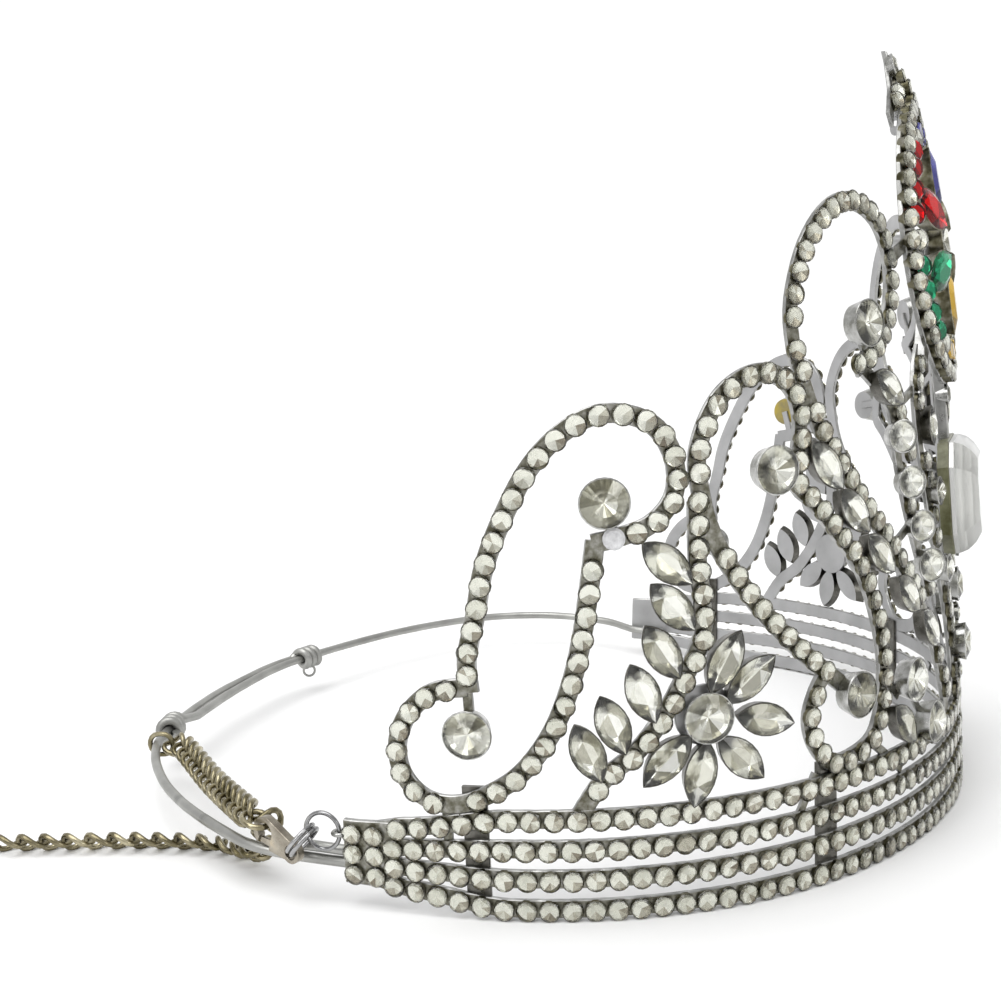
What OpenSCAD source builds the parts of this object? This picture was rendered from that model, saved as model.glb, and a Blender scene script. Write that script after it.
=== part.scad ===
// Rhinestone crown with a tall front, an open band and a wire and chain closure.
// Places on the band are given as [t, up]: t is the length along the band from the front centre,
// up is the height over the surface that the crown stands on. Millimetres and degrees.

/* [Band] */
// Length of the band from the front centre to the end of one side
band_len = 140.2; // [139.8:0.1:140.6]
// Radius of the front arc of the band
front_r = 92; // [90:0.5:94]
// Length of the front arc on one side
front_len = 52; // [50:0.5:54]
// Radius of the side arc of the band
side_r = 76; // [75:0.5:77]
// Radius of the last arc of the band
rear_r = 140; // [130:1:150]
// Width of one strip or scroll ribbon
strip_w = 3.45; // [3.2:0.05:3.6]
// Thickness of the sheet metal
metal_t = 0.9; // [0.8:0.05:1]
// Distance between the middles of two strips
row_step = 5; // [4.95:0.05:5.05]

/* [Front] */
// Height of the middle of the medallion
medal_up = 105; // [104.5:0.5:105.5]
// Outer radius of the medallion's ring
ring_outer = 26.1; // [25.8:0.1:26.4]
// Inner radius of the medallion's ring
ring_inner = 18.6; // [18.2:0.1:18.8]
// Width of the large octagon stone
octagon_w = 25; // [24:0.5:26]
// Height of the large octagon stone
octagon_h = 18; // [17:0.5:19]

/* [Stones] */
// Diameter of the large round stones
chaton_d = 8; // [7.8:0.1:8.1]
// Length of a marquise stone
marquise_l = 10; // [9.8:0.1:10.1]
// Width of a marquise stone
marquise_w = 5; // [4.8:0.1:5.1]
// Free space between a stone and its cup
seat_gap = 0.12; // [0.1:0.01:0.15]

/* [Closure] */
// Thickness of the rear wires
wire_d = 1.7; // [1.6:0.05:1.75]
// Thickness of the wire of a chain link
link_d = 0.95; // [0.85:0.05:1]
// Distance between the middles of two links
link_pitch = 4.25; // [4.2:0.05:4.3]
// Outer width of a chain link
link_w = 5.3; // [5.2:0.05:5.4]
// Thickness of the clasp
clasp_t = 1.5; // [1.4:0.05:1.6]
// Diameter of the pin of the clasp's lever
pin_d = 0.6; // [0.5:0.05:0.7]

/* [Hidden] */

// Band
loop_centre = 83;
side_len = 62;
side_lean = tan(3.2);
front_lean = 0.035;
front_curl = 3.3e-6;
rows = [for (i = [0:3]) strip_w / 2 + i * row_step];
rows_middle = 9.6;
plate_from = 129.5;
strut_depth = 0.9;
solder = 0.3;

// Cups and stones
cup_sides = 8;
cup_rim = 0.3;
cup_sink = 0.5;
foot_share = 0.94;
small_cup_h = 1.3;
deep_cup_h = 2.2;
table_share = 0.58;
culet_share = 0.72;
crown_share = 0.2;
pavilion_h = 0.5;

// Scroll ribbons of the right side: [t, up]
rear_inner = [
    [98, 61], [99, 54], [100.5, 45], [102.5, 37.5], [105.5, 30.5], [110, 24.5], [115, 21],
    [120.5, 19], [125.5, 19.8], [129, 23.5], [129.7, 28.5], [127.7, 33.5], [123.5, 37.3], [118, 38.3]
];
rear_outer = [
    [117.5, 37.5], [117.7, 43], [116, 50], [114.5, 57], [111.5, 64.5], [107.5, 72], [103, 77],
    [98, 79.8], [93, 79.8], [88.5, 77.5], [85.8, 72.5], [86, 67], [89.5, 63], [94.5, 61.3], [98.5, 60.5]
];
stem = [
    [83.2, 66], [83, 57], [82.1, 50], [82.2, 44.5], [84.5, 38.5], [88, 32.5], [92.5, 27], [97.5, 23],
    [101.8, 16.5]
];
middle_scroll = [
    [52.5, 32], [60, 37.5], [66, 42.7], [72, 49], [77, 55.2], [80.5, 61], [82.4, 67],
    [82.3, 73.5], [79, 80.5], [74, 84.2], [68.5, 84.7], [64.2, 82], [62.5, 77], [63.2, 71.5],
    [63.5, 67], [60, 64], [54, 58], [49.5, 53.5], [46, 48], [43.5, 42], [42, 36], [42, 31],
    [43.3, 25.5], [46, 21.7], [51, 20], [56, 20], [60, 23.8], [61.4, 28.5], [59.8, 32.8], [57.5, 35.5]
];
link_line = [
    [63.5, 88], [61, 82], [58.5, 76.5], [55, 71.8], [47, 62.5], [38, 53.8], [29, 44.5],
    [20.5, 34.5], [14, 24], [11, 16]
];
upper_scroll = [
    [63, 86], [63.9, 93], [62.8, 98.5], [60, 104], [55.5, 108.3], [50, 110.8], [44.5, 111.4],
    [39, 110.2], [34.5, 107.5], [31.8, 103], [31.8, 98], [34, 93], [38.5, 88.5], [42.5, 86.3], [47, 84]
];
drop_line = [[47, 85.5], [40, 81], [35, 76.5], [34, 70], [32, 63], [29, 56], [25.5, 49.5], [21.5, 42]];
shield_edge = [
    [17.5, 86], [22, 81], [22.5, 72], [20.5, 64.5], [18, 57], [14.5, 49], [10.5, 41.5],
    [6.5, 34], [3.5, 26.5], [2, 16]
];
crest_edge = [[14, 127], [9.5, 130], [5, 132.5], [0, 137.5]];

// Straight links between scrolls and cups: [t, up, t, up]
short_links = [
    [60, 19, 64, 12], [42.4, 32.6, 36.6, 27.2], [45, 50.5, 30, 56], [46, 21.5, 36, 14], [19.5, 66, 10, 64],
    [15, 50, 9, 50], [32, 64, 20, 64], [36, 76, 21, 80], [122.3, 20, 122.3, 12], [27, 21, 12, 20],
    [27, 21, 34, 30], [38, 22, 43, 28], [96.9, 67.1, 95, 61], [117.8, 31.5, 118, 37.5],
    [69.5, 70, 63.2, 71], [46.2, 91.5, 43.5, 86.3]
];

// Posts that carry the medallion in front of the scrolls: [t, up, t, up]
medal_posts = [[31.6, 102.8, 23.1, 105.2], [19, 84.5, 14.5, 90]];
// Plates behind the strips: [t from, t to, up from, up to]
strut_plates = [[54.8, 59.4, 2.6, 20.5], [115.3, 119.3, 2.4, 22.6]];
// Lug behind the medallion: its outline as [behind the wall at lug_level, up], its holes also with a radius
lug_level = 126;
lug_outline = [
    [-1.2, 125.6], [1.9, 125.6], [2.3, 126.4], [2.85, 134], [2.3, 135.3], [1.9, 135.3], [1.2, 133],
    [-0.2, 131]
];
lug_holes = [[1.4, 127.8, 0.55], [0.5, 129.9, 0.3]];

// Round stones in deep cups: [t, up]
scroll_chatons = [
    [96.9, 67.1], [117.8, 31.5], [69.5, 70], [51.8, 31.2], [46.2, 91.5], [34.6, 30], [26.9, 20.6]
];
flower_at = [81, 32.2];
// Radius of the plate behind the flower
flower_disc_r = 6.4;
// Marquise stones: [t, up, turn]
flower_petals = [
    [78, 41.4, 61], [73.4, 38, 38], [70.7, 30.6, -14], [75.2, 24.6, -44], [82.4, 22.8, -102],
    [88.1, 25.7, -135]
];
leaves = [
    [87.7, 57.2, -41], [86.9, 50.4, -48], [88.6, 43.5, -58], [91.6, 37.2, -68], [96.2, 32.5, -68],
    [100, 28.2, -67]
];
branches = [
    [58.3, 69.6, -51], [51.6, 61.5, -48], [44.5, 53.5, -44], [35.3, 45.1, -43], [26.3, 37.4, -46],
    [39, 80.6, -34], [37.6, 22.8, -48]
];
// Stones of the falling line: [t, up, diameter]
drops = [[35.5, 72.2, 6], [32.7, 64.1, 6], [28.9, 56, 6], [25.3, 48.6, 6.4]];
// Stones beside the octagon: [t, up, length, width, turn]
flanks = [[19.6, 72.6, 7, 4, 90], [17.4, 60.6, 5, 5, 0], [13.4, 45.8, 5, 5, 0]];
// Stones of the middle column: [up, diameter, height of the cup]
column = [[76.8, 4, 1.3], [40.2, 6.5, 1], [34.6, 3, 0.8], [28.9, 7, 2], [23.2, 3, 0.8]];
// Petals of the rosette: [name, turn]
petals = [["red", 150], ["green", 210], ["blue", 90], ["gold", 270], ["clear_a", 30], ["clear_b", 330]];
rosette_cup_h = 2;
petal_l = 12.4;
petal_w = 6.4;
petal_from = 4.9;
medal_rise = 1.6;
post_rise = medal_rise - 0.4;
octagon_up = 58;
octagon_rise = 1.3;
octagon_t = 5.8;
octagon_girdle = 0.8;
octagon_cut = 4.2;
crest_up = 138;
crest_size = [6.4, 4.6];
crest_cup_h = 0.6;

// Rear wires: [x, y, z] of the middle of the wire
wire_right = [
    [-84.9, 17.8, 9.4], [-84.4, 13, 9.1], [-83.8, 7, 8.7], [-83.6, 1, 8.55], [-83.6, -0.7, 7.6],
    [-83.6, 1, 6.65], [-83.8, 7, 6.7], [-84.4, 13.6, 7], [-85, 20, 7.5], [-84.4, 26.5, 8],
    [-80.8, 34, 8.3], [-75.6, 42.3, 8.3], [-70, 50, 8.3], [-62.5, 58.5, 8.4], [-52.5, 67.3, 8.5],
    [-43, 73.4, 8.6], [-35, 76.3, 8.7], [-24, 79, 8.8], [-8, 81.4, 8.9], [6, 81.7, 9], [13, 81.7, 9],
    [19, 81.15, 9], [24.6, 80.05, 9]
];
wire_left = [
    [83.1, -2, 6.8], [83.4, 6, 7], [88.2, 16, 7.8], [89.2, 31, 8.4], [84, 46, 8.6], [73, 57, 8.8],
    [58.5, 66.2, 8.9], [41.5, 73, 9], [24.5, 78, 9], [14, 79.4, 9], [4, 79.2, 9], [-8, 78.4, 8.9],
    [-24, 76.2, 8.8]
];
wire_sides = 6;
wrap_pitch = 1.85;
wrap_turns = 3;
wrap_gap = 0.3;
// Where each wire's end is wound round the other wire: two points on the wire inside
splice_right = [[-30.5, 77.6, 8.75], [-40, 74.6, 8.7]];
splice_left = [[25.2, 77.8, 9], [32.6, 75.84, 9]];

// Chain and clasp
link_gap = 0.25;
link_twist = 45;
link_sides = 5;
run_links = 15;
tail_links = 16;
run_roll = 135;
tail_roll = 10;
run_sag = 1;
tail_path = [
    [-80.2, 25.2, 9], [-79.6, 27.2, 5.2], [-77, 30.4, 3], [-74.4, 34.4, 2.1], [-73, 39, 2],
    [-73, 44, 2], [-74.2, 50, 2], [-76, 57, 2], [-78.4, 64, 2], [-81.2, 72, 2], [-84, 80, 2]
];
// Chain link that is round the rear wire beside its wound end: place and direction
knot_at = [-43.5, 73.2, 8.6];
knot_dir = unit([0.05, -0.95, 0.1]);
hook_link_heading = 66;
hook_link_rise = 12;
// Where the link's bow lies in the clasp's hook, from its eye: [along, up]
hook_link_in = [6.76, 0.7];
clasp_eye_at = [-88.1, 15.76, 9.3];
clasp_heading = 73;
clasp_rise = 20;
eye_r = 1.9;
eye_hole_r = 1.2;
hook_x = 6.3;
hook_r = 2.7;
hook_hole_r = 1.65;
// Mouth of the hook, and the slot in its side that the lever turns in
mouth = [[4.6, -0.9], [7.2, -0.7], [7.6, -3.4], [4.6, -3.4]];
slot_from = [2.6, -3.2];
slot_size = [2.6, 3.6, 0.84];
lever_at = [3.9, -1.2];
lever_t = 0.7;
lever_boss_r = 0.75;
lever_arm = [[3.9, -1.9], [7, -2.3], [7.2, -1.35], [4, -0.5]];
pin_len = 1.1;
ring_wire = 0.75;
ring_large_r = 3.1;
ring_small_r = 2.9;
ring_pair_shift = 0.45;
$fn = 48;

// Places on the band
function arc_turn(len, r) = len / r * 180 / PI;
function arc_run(r, a0, a1) = r * [sin(a0) - sin(a1), cos(a0) - cos(a1)];
turn_1 = arc_turn(front_len, front_r);
turn_2 = turn_1 + arc_turn(side_len, side_r);
function heading_right(t) =
    t <= front_len ? arc_turn(t, front_r)
    : t <= front_len + side_len ? turn_1 + arc_turn(t - front_len, side_r)
    : turn_2 + arc_turn(t - front_len - side_len, rear_r);
function heading(t) = t < 0 ? -heading_right(-t) : heading_right(t);
function plan_right(t, a) =
    t <= front_len ? arc_run(front_r, 0, a)
    : t <= front_len + side_len ? arc_run(front_r, 0, turn_1) + arc_run(side_r, turn_1, a)
    : arc_run(front_r, 0, turn_1) + arc_run(side_r, turn_1, turn_2) + arc_run(rear_r, turn_2, a);
function plan(t) =
    let (p = plan_right(abs(t), heading_right(abs(t)))) [t < 0 ? -p.x : p.x, p.y - loop_centre];
function side_share(t) = sin(heading(t)) ^ 2;
function lean_at(t, up) =
    side_share(t) * up * side_lean - (1 - side_share(t)) * (front_lean * up + front_curl * up ^ 3);
function slope_at(t, up) =
    side_share(t) * side_lean - (1 - side_share(t)) * (front_lean + 3 * front_curl * up ^ 2);
function outward(t) = [-sin(heading(t)), -cos(heading(t))];
function wall(t, up, out) =
    let (p = plan(t) + (lean_at(t, up) + out) * outward(t)) [p.x, p.y, up];
function unit(v) = v / norm(v);

module on_wall(t, up, turn = 0, out = 0) {
    forward = [cos(heading(t)), -sin(heading(t)), 0];
    upward = unit([slope_at(t, up) * outward(t).x, slope_at(t, up) * outward(t).y, 1]);
    facing = cross(forward, upward);
    place = wall(t, up, 0) + out * facing;
    multmatrix([
        [forward.x, upward.x, facing.x, place.x],
        [forward.y, upward.y, facing.y, place.y],
        [forward.z, upward.z, facing.z, place.z],
        [0, 0, 0, 1]
    ]) rotate([0, 0, turn]) children();
}

module both_sides() {
    children();
    mirror([1, 0, 0]) children();
}

// Curves through named points
function spline_point(a, b, c, d, s) =
    0.5 * (2 * b + (c - a) * s + (2 * a - 5 * b + 4 * c - d) * s ^ 2 + (3 * b - a - 3 * c + d) * s ^ 3);
function smooth(points, steps) = let (last = len(points) - 1) [
    for (i = [0:last - 1], k = [0:steps - 1])
        spline_point(points[max(i - 1, 0)], points[i], points[i + 1], points[min(i + 2, last)], k / steps),
    points[last]
];
function direction(path, i) = unit(path[min(i + 1, len(path) - 1)] - path[max(i - 1, 0)]);
function path_len(path, i = 0) = i >= len(path) - 1 ? 0 : norm(path[i + 1] - path[i]) + path_len(path, i + 1);
function along(path, s, i = 0) = let (d = norm(path[i + 1] - path[i]))
    s <= d || i >= len(path) - 2 ? path[i] + (path[i + 1] - path[i]) * s / d : along(path, s - d, i + 1);

// Solid through a row of rings of equal point counts
module loft(rings, closed = false) {
    n = len(rings[0]);
    m = len(rings);
    faces = [
        for (i = [0:(closed ? m : m - 1) - 1], k = [0:n - 1])
            let (a = i * n + k, b = i * n + (k + 1) % n, j = (i + 1) % m)
                each [[a, b, j * n + (k + 1) % n], [a, j * n + (k + 1) % n, j * n + k]]
    ];
    ends = closed ? [] : [[for (k = [n - 1:-1:0]) k], [for (k = [0:n - 1]) (m - 1) * n + k]];
    polyhedron([for (ring = rings) each ring], concat(faces, ends));
}

// Ribbon of sheet metal along a path of [t, up]
module ribbon(path, width = strip_w, back = -metal_t, front = 0, steps = 1, closed = false) {
    points = smooth(path, steps);
    loft([
        for (i = [0:len(points) - (closed ? 2 : 1)])
            let (d = closed && i == 0 ? unit(points[1] - points[len(points) - 2]) : direction(points, i),
                 side = [-d.y, d.x] * width / 2, a = points[i] - side, b = points[i] + side)
                [wall(a.x, a.y, back), wall(b.x, b.y, back), wall(b.x, b.y, front), wall(a.x, a.y, front)]
    ], closed);
}

// Outlines of stones and cups
function marquise(l, w, n = 4) = [
    for (k = [0:2 * n - 1])
        let (a = 180 * k / n, r = (l ^ 2 / w + w) / 4, x = cos(a) * l / 2,
             y = sqrt(r ^ 2 - x ^ 2) - r + w / 2)
            [x, k == 0 || k == n ? 0 : a < 180 ? y : -y]
];
module marquise_outline(l, w, rim = 0) polygon(marquise(l + 4 * rim, w + 2 * rim));
module round_outline(d, rim = 0) circle(d = d + 2 * rim, $fn = cup_sides);
module octagon_outline(w, h, cut) polygon([
    [w / 2, h / 2 - cut], [w / 2 - cut, h / 2], [cut - w / 2, h / 2], [-w / 2, h / 2 - cut],
    [-w / 2, cut - h / 2], [cut - w / 2, -h / 2], [w / 2 - cut, -h / 2], [w / 2, cut - h / 2]
]);

// Cup that stands on the metal, and the cut stone that sits on it
module cup(height) hull()
    translate([0, 0, height]) mirror([0, 0, 1])
        linear_extrude(height + cup_sink, scale = foot_share) children();
module stone(crown) hull() {
    linear_extrude(crown, scale = table_share) children();
    mirror([0, 0, 1]) linear_extrude(pavilion_h, scale = culet_share) children();
}
module seated(height) translate([0, 0, height + seat_gap + pavilion_h]) children();

module marquise_cup(l = marquise_l, w = marquise_w, h = small_cup_h) cup(h) marquise_outline(l, w, cup_rim);
module marquise_stone(l = marquise_l, w = marquise_w, h = small_cup_h)
    seated(h) stone(w * 1.25 * crown_share) marquise_outline(l, w);
module round_cup(d, h) cup(h) round_outline(d, cup_rim);
module round_stone(d, h) seated(h) stone(d * crown_share) round_outline(d);

module at_chatons() for (c = scroll_chatons) on_wall(c[0], c[1]) children();
module at_marquises(list) for (m = list) on_wall(m[0], m[1], m[2]) children();
module at_petal(turn, r = petal_from + petal_l / 2)
    on_wall(-r * cos(turn), medal_up + r * sin(turn), turn, medal_rise) children();

// Parts of the soldered frame
module band_strips() {
    for (i = [0:3])
        loft([
            for (k = [-16:16])
                let (t = (band_len - solder) * k / 16,
                     a = row_up(i, abs(t)) - strip_w / 2, b = row_up(i, abs(t)) + strip_w / 2)
                    [wall(t, a, -metal_t), wall(t, b, -metal_t), wall(t, b, 0), wall(t, a, 0)]
        ]);
}
function eased(s) = let (c = min(max(s, 0), 1)) c * c * (3 - 2 * c);
// The rows draw together towards the end plates
function row_up(i, t) = rows_middle + (rows[i] - rows_middle) * (1 - 0.3 * eased((t - 112) / 19));

module end_plate() {
    ribbon([[plate_from, 9.2], [134.8, 9.1], [band_len, 9.1]], 11.2, -metal_t - 0.15, 0.1);
}
module struts() {
    front = -metal_t + solder;
    for (s = strut_plates)
        let (t = (s[0] + s[1]) / 2)
            ribbon([[t, s[2]], [t, s[3]]], s[1] - s[0], front - strut_depth, front);
}
module scrolls() {
    ribbon(rear_inner, front = -0.02, steps = 2);
    ribbon(rear_outer, front = -0.05);
    ribbon(stem, front = -0.08);
    ribbon(middle_scroll, front = -0.11);
    ribbon(link_line, front = -0.14);
    ribbon(upper_scroll, front = -0.17);
    ribbon(drop_line, 2.6, front = -0.2);
    ribbon(shield_edge, front = -0.23);
    ribbon(crest_edge, 3, front = -0.26);
    for (s = medal_posts)
        ribbon([[s[0], s[1]], [s[2], s[3]]], 2.4, -metal_t + 0.07, post_rise);
    for (s = short_links)
        ribbon([[s[0], s[1]], [s[2], s[3]]], 1.6, -metal_t + 0.04, -0.3);
}
module side_cups() {
    at_chatons() round_cup(chaton_d, deep_cup_h);
    on_wall(flower_at.x, flower_at.y) {
        round_cup(chaton_d, deep_cup_h);
        translate([0, 0, -metal_t]) cylinder(r = flower_disc_r, h = metal_t - 0.2, $fn = 12);
    }
    at_marquises(concat(flower_petals, leaves, branches)) marquise_cup();
    for (d = drops) on_wall(d[0], d[1]) round_cup(d[2], small_cup_h);
    for (f = flanks) on_wall(f[0], f[1], f[4])
        if (f[2] > f[3]) marquise_cup(f[2], f[3]); else round_cup(f[2], small_cup_h);
}
module medallion() {
    r = (ring_outer + ring_inner) / 2;
    reach = ring_inner + 0.6;
    back = medal_rise - metal_t;
    ribbon([for (a = [0:10:360]) [-r * cos(a), medal_up + r * sin(a)]], ring_outer - ring_inner,
           back, medal_rise, 1, true);
    // The spokes lie at slightly different depths, so that none of their faces coincide
    for (a = [30, 90, 150])
        let (sink = a / 3000)
            ribbon([for (s = [-1:0.5:1]) [-s * reach * cos(a), medal_up + s * reach * sin(a)]], 3,
                   back + sink, medal_rise - 0.1 - sink);
    for (p = petals) at_petal(p[1]) marquise_cup(petal_l, petal_w, rosette_cup_h);
    on_wall(0, medal_up, 0, medal_rise) round_cup(chaton_d, rosette_cup_h);
}
module centre_column() {
    ribbon([[0, 15], [0, 30], [0, 50], [0, 70]], strip_w, -metal_t + 0.06, -0.05);
    ribbon([[0, 66], [0, 75], [0, 82]], strip_w, -metal_t + 0.09, post_rise);
    ribbon([[0, 129], [0, 134.2], [0, 140.9]], 3.2, -metal_t + 0.06, 0.1);
    for (c = column) on_wall(0, c[0]) round_cup(c[1], c[2]);
    on_wall(0, octagon_up)
        cup(octagon_rise) octagon_outline(octagon_w + 0.8, octagon_h + 0.8, octagon_cut + 0.2);
    on_wall(0, crest_up) cup(crest_cup_h) marquise_outline(crest_size.x, crest_size.y, cup_rim);
}
module back_lug() {
    translate([-metal_t / 2, wall(0, lug_level, 0).y, 0])
        rotate([90, 0, 90]) linear_extrude(metal_t) difference() {
            polygon(lug_outline);
            for (h = lug_holes) translate([h[0], h[1]]) circle(r = h[2], $fn = 12);
        }
}
module ring_eye() {
    translate(wall(band_len, 12.6, -metal_t / 2) + [0, 0.85, 0])
        rotate_extrude($fn = 12) translate([1.15, 0]) circle(d = 0.75, $fn = 6);
}

module crown_frame() color("Silver") {
    band_strips();
    both_sides() {
        end_plate();
        struts();
        scrolls();
        side_cups();
    }
    medallion();
    centre_column();
    back_lug();
    ring_eye();
}

// Stones of one side
module flower_stones() {
    on_wall(flower_at.x, flower_at.y) round_stone(chaton_d, deep_cup_h);
    at_marquises(flower_petals) marquise_stone();
}
module leaf_stones() at_marquises(leaves) marquise_stone();
module branch_stones() at_marquises(branches) marquise_stone();
module chaton_stones() at_chatons() round_stone(chaton_d, deep_cup_h);
module drop_stones() for (d = drops) on_wall(d[0], d[1]) round_stone(d[2], small_cup_h);
module flank_stones() for (f = flanks) on_wall(f[0], f[1], f[4])
    if (f[2] > f[3]) marquise_stone(f[2], f[3]); else round_stone(f[2], small_cup_h);

// Stones of the front
module rosette_petal(i) at_petal(petals[i][1]) marquise_stone(petal_l, petal_w, rosette_cup_h);
module rosette_centre() color("White")
    on_wall(0, medal_up, 0, medal_rise) round_stone(chaton_d, rosette_cup_h);
module octagon_stone() color("White") on_wall(0, octagon_up) seated(octagon_rise)
    hull() {
        linear_extrude(octagon_girdle) octagon_outline(octagon_w, octagon_h, octagon_cut);
        linear_extrude(octagon_t - pavilion_h) octagon_outline(octagon_w - 7, octagon_h - 7, 3);
        mirror([0, 0, 1])
            linear_extrude(pavilion_h) octagon_outline(octagon_w - 2, octagon_h - 2, octagon_cut - 0.6);
    }
module column_stones() color("White") for (c = column) on_wall(0, c[0]) round_stone(c[1], c[2]);
module crest_stone() color("White")
    on_wall(0, crest_up) seated(crest_cup_h) stone(1.2) marquise_outline(crest_size.x, crest_size.y);

// Tube of wire along a path in space; hints are directions across the path, one for each point
function frame_side(d, roll) =
    let (s = unit(cross([0, 0, 1], d)), u = cross(d, s)) s * cos(roll) + u * sin(roll);
function squared(v, d) = unit(v - (v * d) * d);
function directions(path) = [for (i = [0:len(path) - 1]) direction(path, i)];
function carried(turns, first) = [
    for (i = 0, v = first; i < len(turns); i = i + 1, v = i < len(turns) ? squared(v, turns[i]) : v) v
];
module tube(path, hints, d, sides, closed = false) loft([
    for (i = [0:len(path) - 1])
        let (n = len(path), t = closed ? unit(path[(i + 1) % n] - path[(i + n - 1) % n]) : direction(path, i),
             s = unit(cross(hints[i], t)), u = cross(t, s))
            [for (k = [0:sides - 1]) path[i] + d / 2 * (s * cos(360 * k / sides) - u * sin(360 * k / sides))]
], closed);
module wire(path) color("Gray")
    let (turns = directions(path))
        tube(path, carried(turns, frame_side(turns[0], 90)), wire_d, wire_sides);

// Turns of a wire that is wound round another wire: from a point on it, along its direction
function wraps(from, along_wire) = [
    for (a = [30:30:360 * wrap_turns])
        from + along_wire * wrap_pitch * a / 360 + (wire_d + wrap_gap) * frame_side(along_wire, a)
];
module rear_wire_right()
    wire(concat(smooth(wire_right, 2), wraps(splice_left[0], unit(splice_left[1] - splice_left[0]))));
module rear_wire_left()
    wire(concat(smooth(wire_left, 2), wraps(splice_right[0], unit(splice_right[1] - splice_right[0]))));

// One link of a curb chain between two points, its ends turned against each other
link_rc = (link_w - link_d) / 2;
link_lc = link_pitch + link_d + link_gap;
function link_points(mid, d, side, twist) = [
    for (end = [1, -1], k = [-2:2])
        let (x = end * (link_lc / 2 - link_rc + link_rc * cos(45 * k)), y = end * link_rc * sin(45 * k),
             a = twist * 2 * x / link_lc)
                mid + d * x + y * (side * cos(a) + cross(d, side) * sin(a))
];
module chain_link(mid, d, side, twist = link_twist)
    tube(link_points(mid, d, side, twist), [for (k = [1:10]) cross(d, side)], link_d, link_sides, true);
module chain(path, count, roll) {
    step = path_len(path) / count;
    ends = [for (i = [0:count]) along(path, i * step)];
    turns = [for (i = [0:count - 1]) unit(ends[i + 1] - ends[i])];
    sides = carried(turns, frame_side(turns[0], roll));
    for (i = [0:count - 1])
        chain_link((ends[i] + ends[i + 1]) / 2, turns[i], sides[i]);
}
// Half of the overlap of two links that pull on each other
link_half_overlap = (link_d + link_gap) / 2;
function compass(turn, rise) = [cos(turn) * cos(rise), sin(turn) * cos(rise), sin(rise)];
clasp_dir = compass(clasp_heading, clasp_rise);
hook_dir = compass(hook_link_heading, hook_link_rise);
hook_bow = clasp_eye_at + clasp_dir * hook_link_in[0] + frame_side(clasp_dir, 90) * hook_link_in[1];
hook_mid = hook_bow + hook_dir * link_lc / 2;
run_from = hook_mid + hook_dir * (link_lc / 2 - link_half_overlap);
knot_mid = knot_at + knot_dir * (link_lc / 2 - (wire_d + link_d) / 2 - 3 * seat_gap);
run_to = knot_mid + knot_dir * (link_lc / 2 - link_half_overlap);
run_bend = run_to + link_pitch * unit(knot_dir + unit(run_from - run_to));
run_middle = (run_from + run_bend) / 2 - [0, 0, run_sag];
module chain_run() color("DarkKhaki") {
    chain_link(hook_mid, hook_dir, frame_side(hook_dir, 0), 0);
    chain(smooth([run_from, run_middle, run_bend, run_to], 4), run_links, run_roll);
    chain_link(knot_mid, knot_dir, frame_side(knot_dir, 90), 0);
}
hook_side = hook_mid - link_rc * frame_side(hook_dir, 0);
tail_from = hook_side - unit(tail_path[0] - hook_side) * link_half_overlap;
module chain_tail() color("DarkKhaki")
    chain(smooth(concat([tail_from], tail_path), 4), tail_links, tail_roll);

// Clasp, in its own frame: x from its eye to its hook, z through its thickness
module in_clasp()
    translate(clasp_eye_at) rotate([0, 0, clasp_heading]) rotate([90, -clasp_rise, 0]) children();
module clasp_body() color("DarkKhaki") in_clasp() {
    difference() {
        linear_extrude(clasp_t, center = true) difference() {
            union() {
                circle(r = eye_r);
                translate([hook_x, 0]) circle(r = hook_r);
                polygon([[0.6, 1.8], [hook_x, hook_r], [hook_x, -hook_r], [0.6, -1.8]]);
            }
            circle(r = eye_hole_r);
            translate([hook_x, 0.1]) circle(r = hook_hole_r);
        }
        linear_extrude(2 * clasp_t, center = true) polygon(mouth);
        translate([slot_from.x, slot_from.y, -slot_size.z / 2]) cube(slot_size);
    }
    translate([lever_at.x, lever_at.y, -pin_len / 2]) cylinder(d = pin_d, h = pin_len);
}
module clasp_lever() color("Tan") in_clasp() difference() {
    linear_extrude(lever_t, center = true) {
        translate(lever_at) circle(r = lever_boss_r);
        polygon(lever_arm);
    }
    translate([lever_at.x, lever_at.y, -lever_t]) cylinder(d = pin_d + 0.1, h = 2 * lever_t);
}

// Rings between the eye of the end plate and the clasp
module wire_ring(r) rotate_extrude() translate([r, 0]) circle(d = ring_wire, $fn = 24);
module jump_ring_large() color("Silver")
    translate([-86.1, 11.14, 12.6]) rotate([0, 90, 0]) wire_ring(ring_large_r);
module small_ring(shift) color("Silver")
    translate([-88.1, 13.9, 11.52]) rotate([-50, 0, 0]) translate([0, 0, shift]) wire_ring(ring_small_r);

module right_white() color("White") children();
module left_white() color("White") mirror([1, 0, 0]) children();

crown_frame();
right_white() flower_stones();  // flower_stones_right
left_white() flower_stones();  // flower_stones_left
right_white() leaf_stones();  // leaf_stones_right
left_white() leaf_stones();  // leaf_stones_left
right_white() branch_stones();  // branch_stones_right
left_white() branch_stones();  // branch_stones_left
right_white() chaton_stones();  // scroll_chatons_right
left_white() chaton_stones();  // scroll_chatons_left
right_white() drop_stones();  // drop_stones_right
left_white() drop_stones();  // drop_stones_left
right_white() flank_stones();  // flank_stones_right
left_white() flank_stones();  // flank_stones_left
rosette_centre();
color("Crimson") rosette_petal(0);  // rosette_petal_red
color("SeaGreen") rosette_petal(1);  // rosette_petal_green
color("RoyalBlue") rosette_petal(2);  // rosette_petal_blue
color("Goldenrod") rosette_petal(3);  // rosette_petal_gold
color("White") rosette_petal(4);  // rosette_petal_clear_a
color("White") rosette_petal(5);  // rosette_petal_clear_b
octagon_stone();
column_stones();
crest_stone();
rear_wire_right();
rear_wire_left();
chain_run();
chain_tail();
jump_ring_large();
small_ring(ring_pair_shift);  // jump_ring_a
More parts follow.
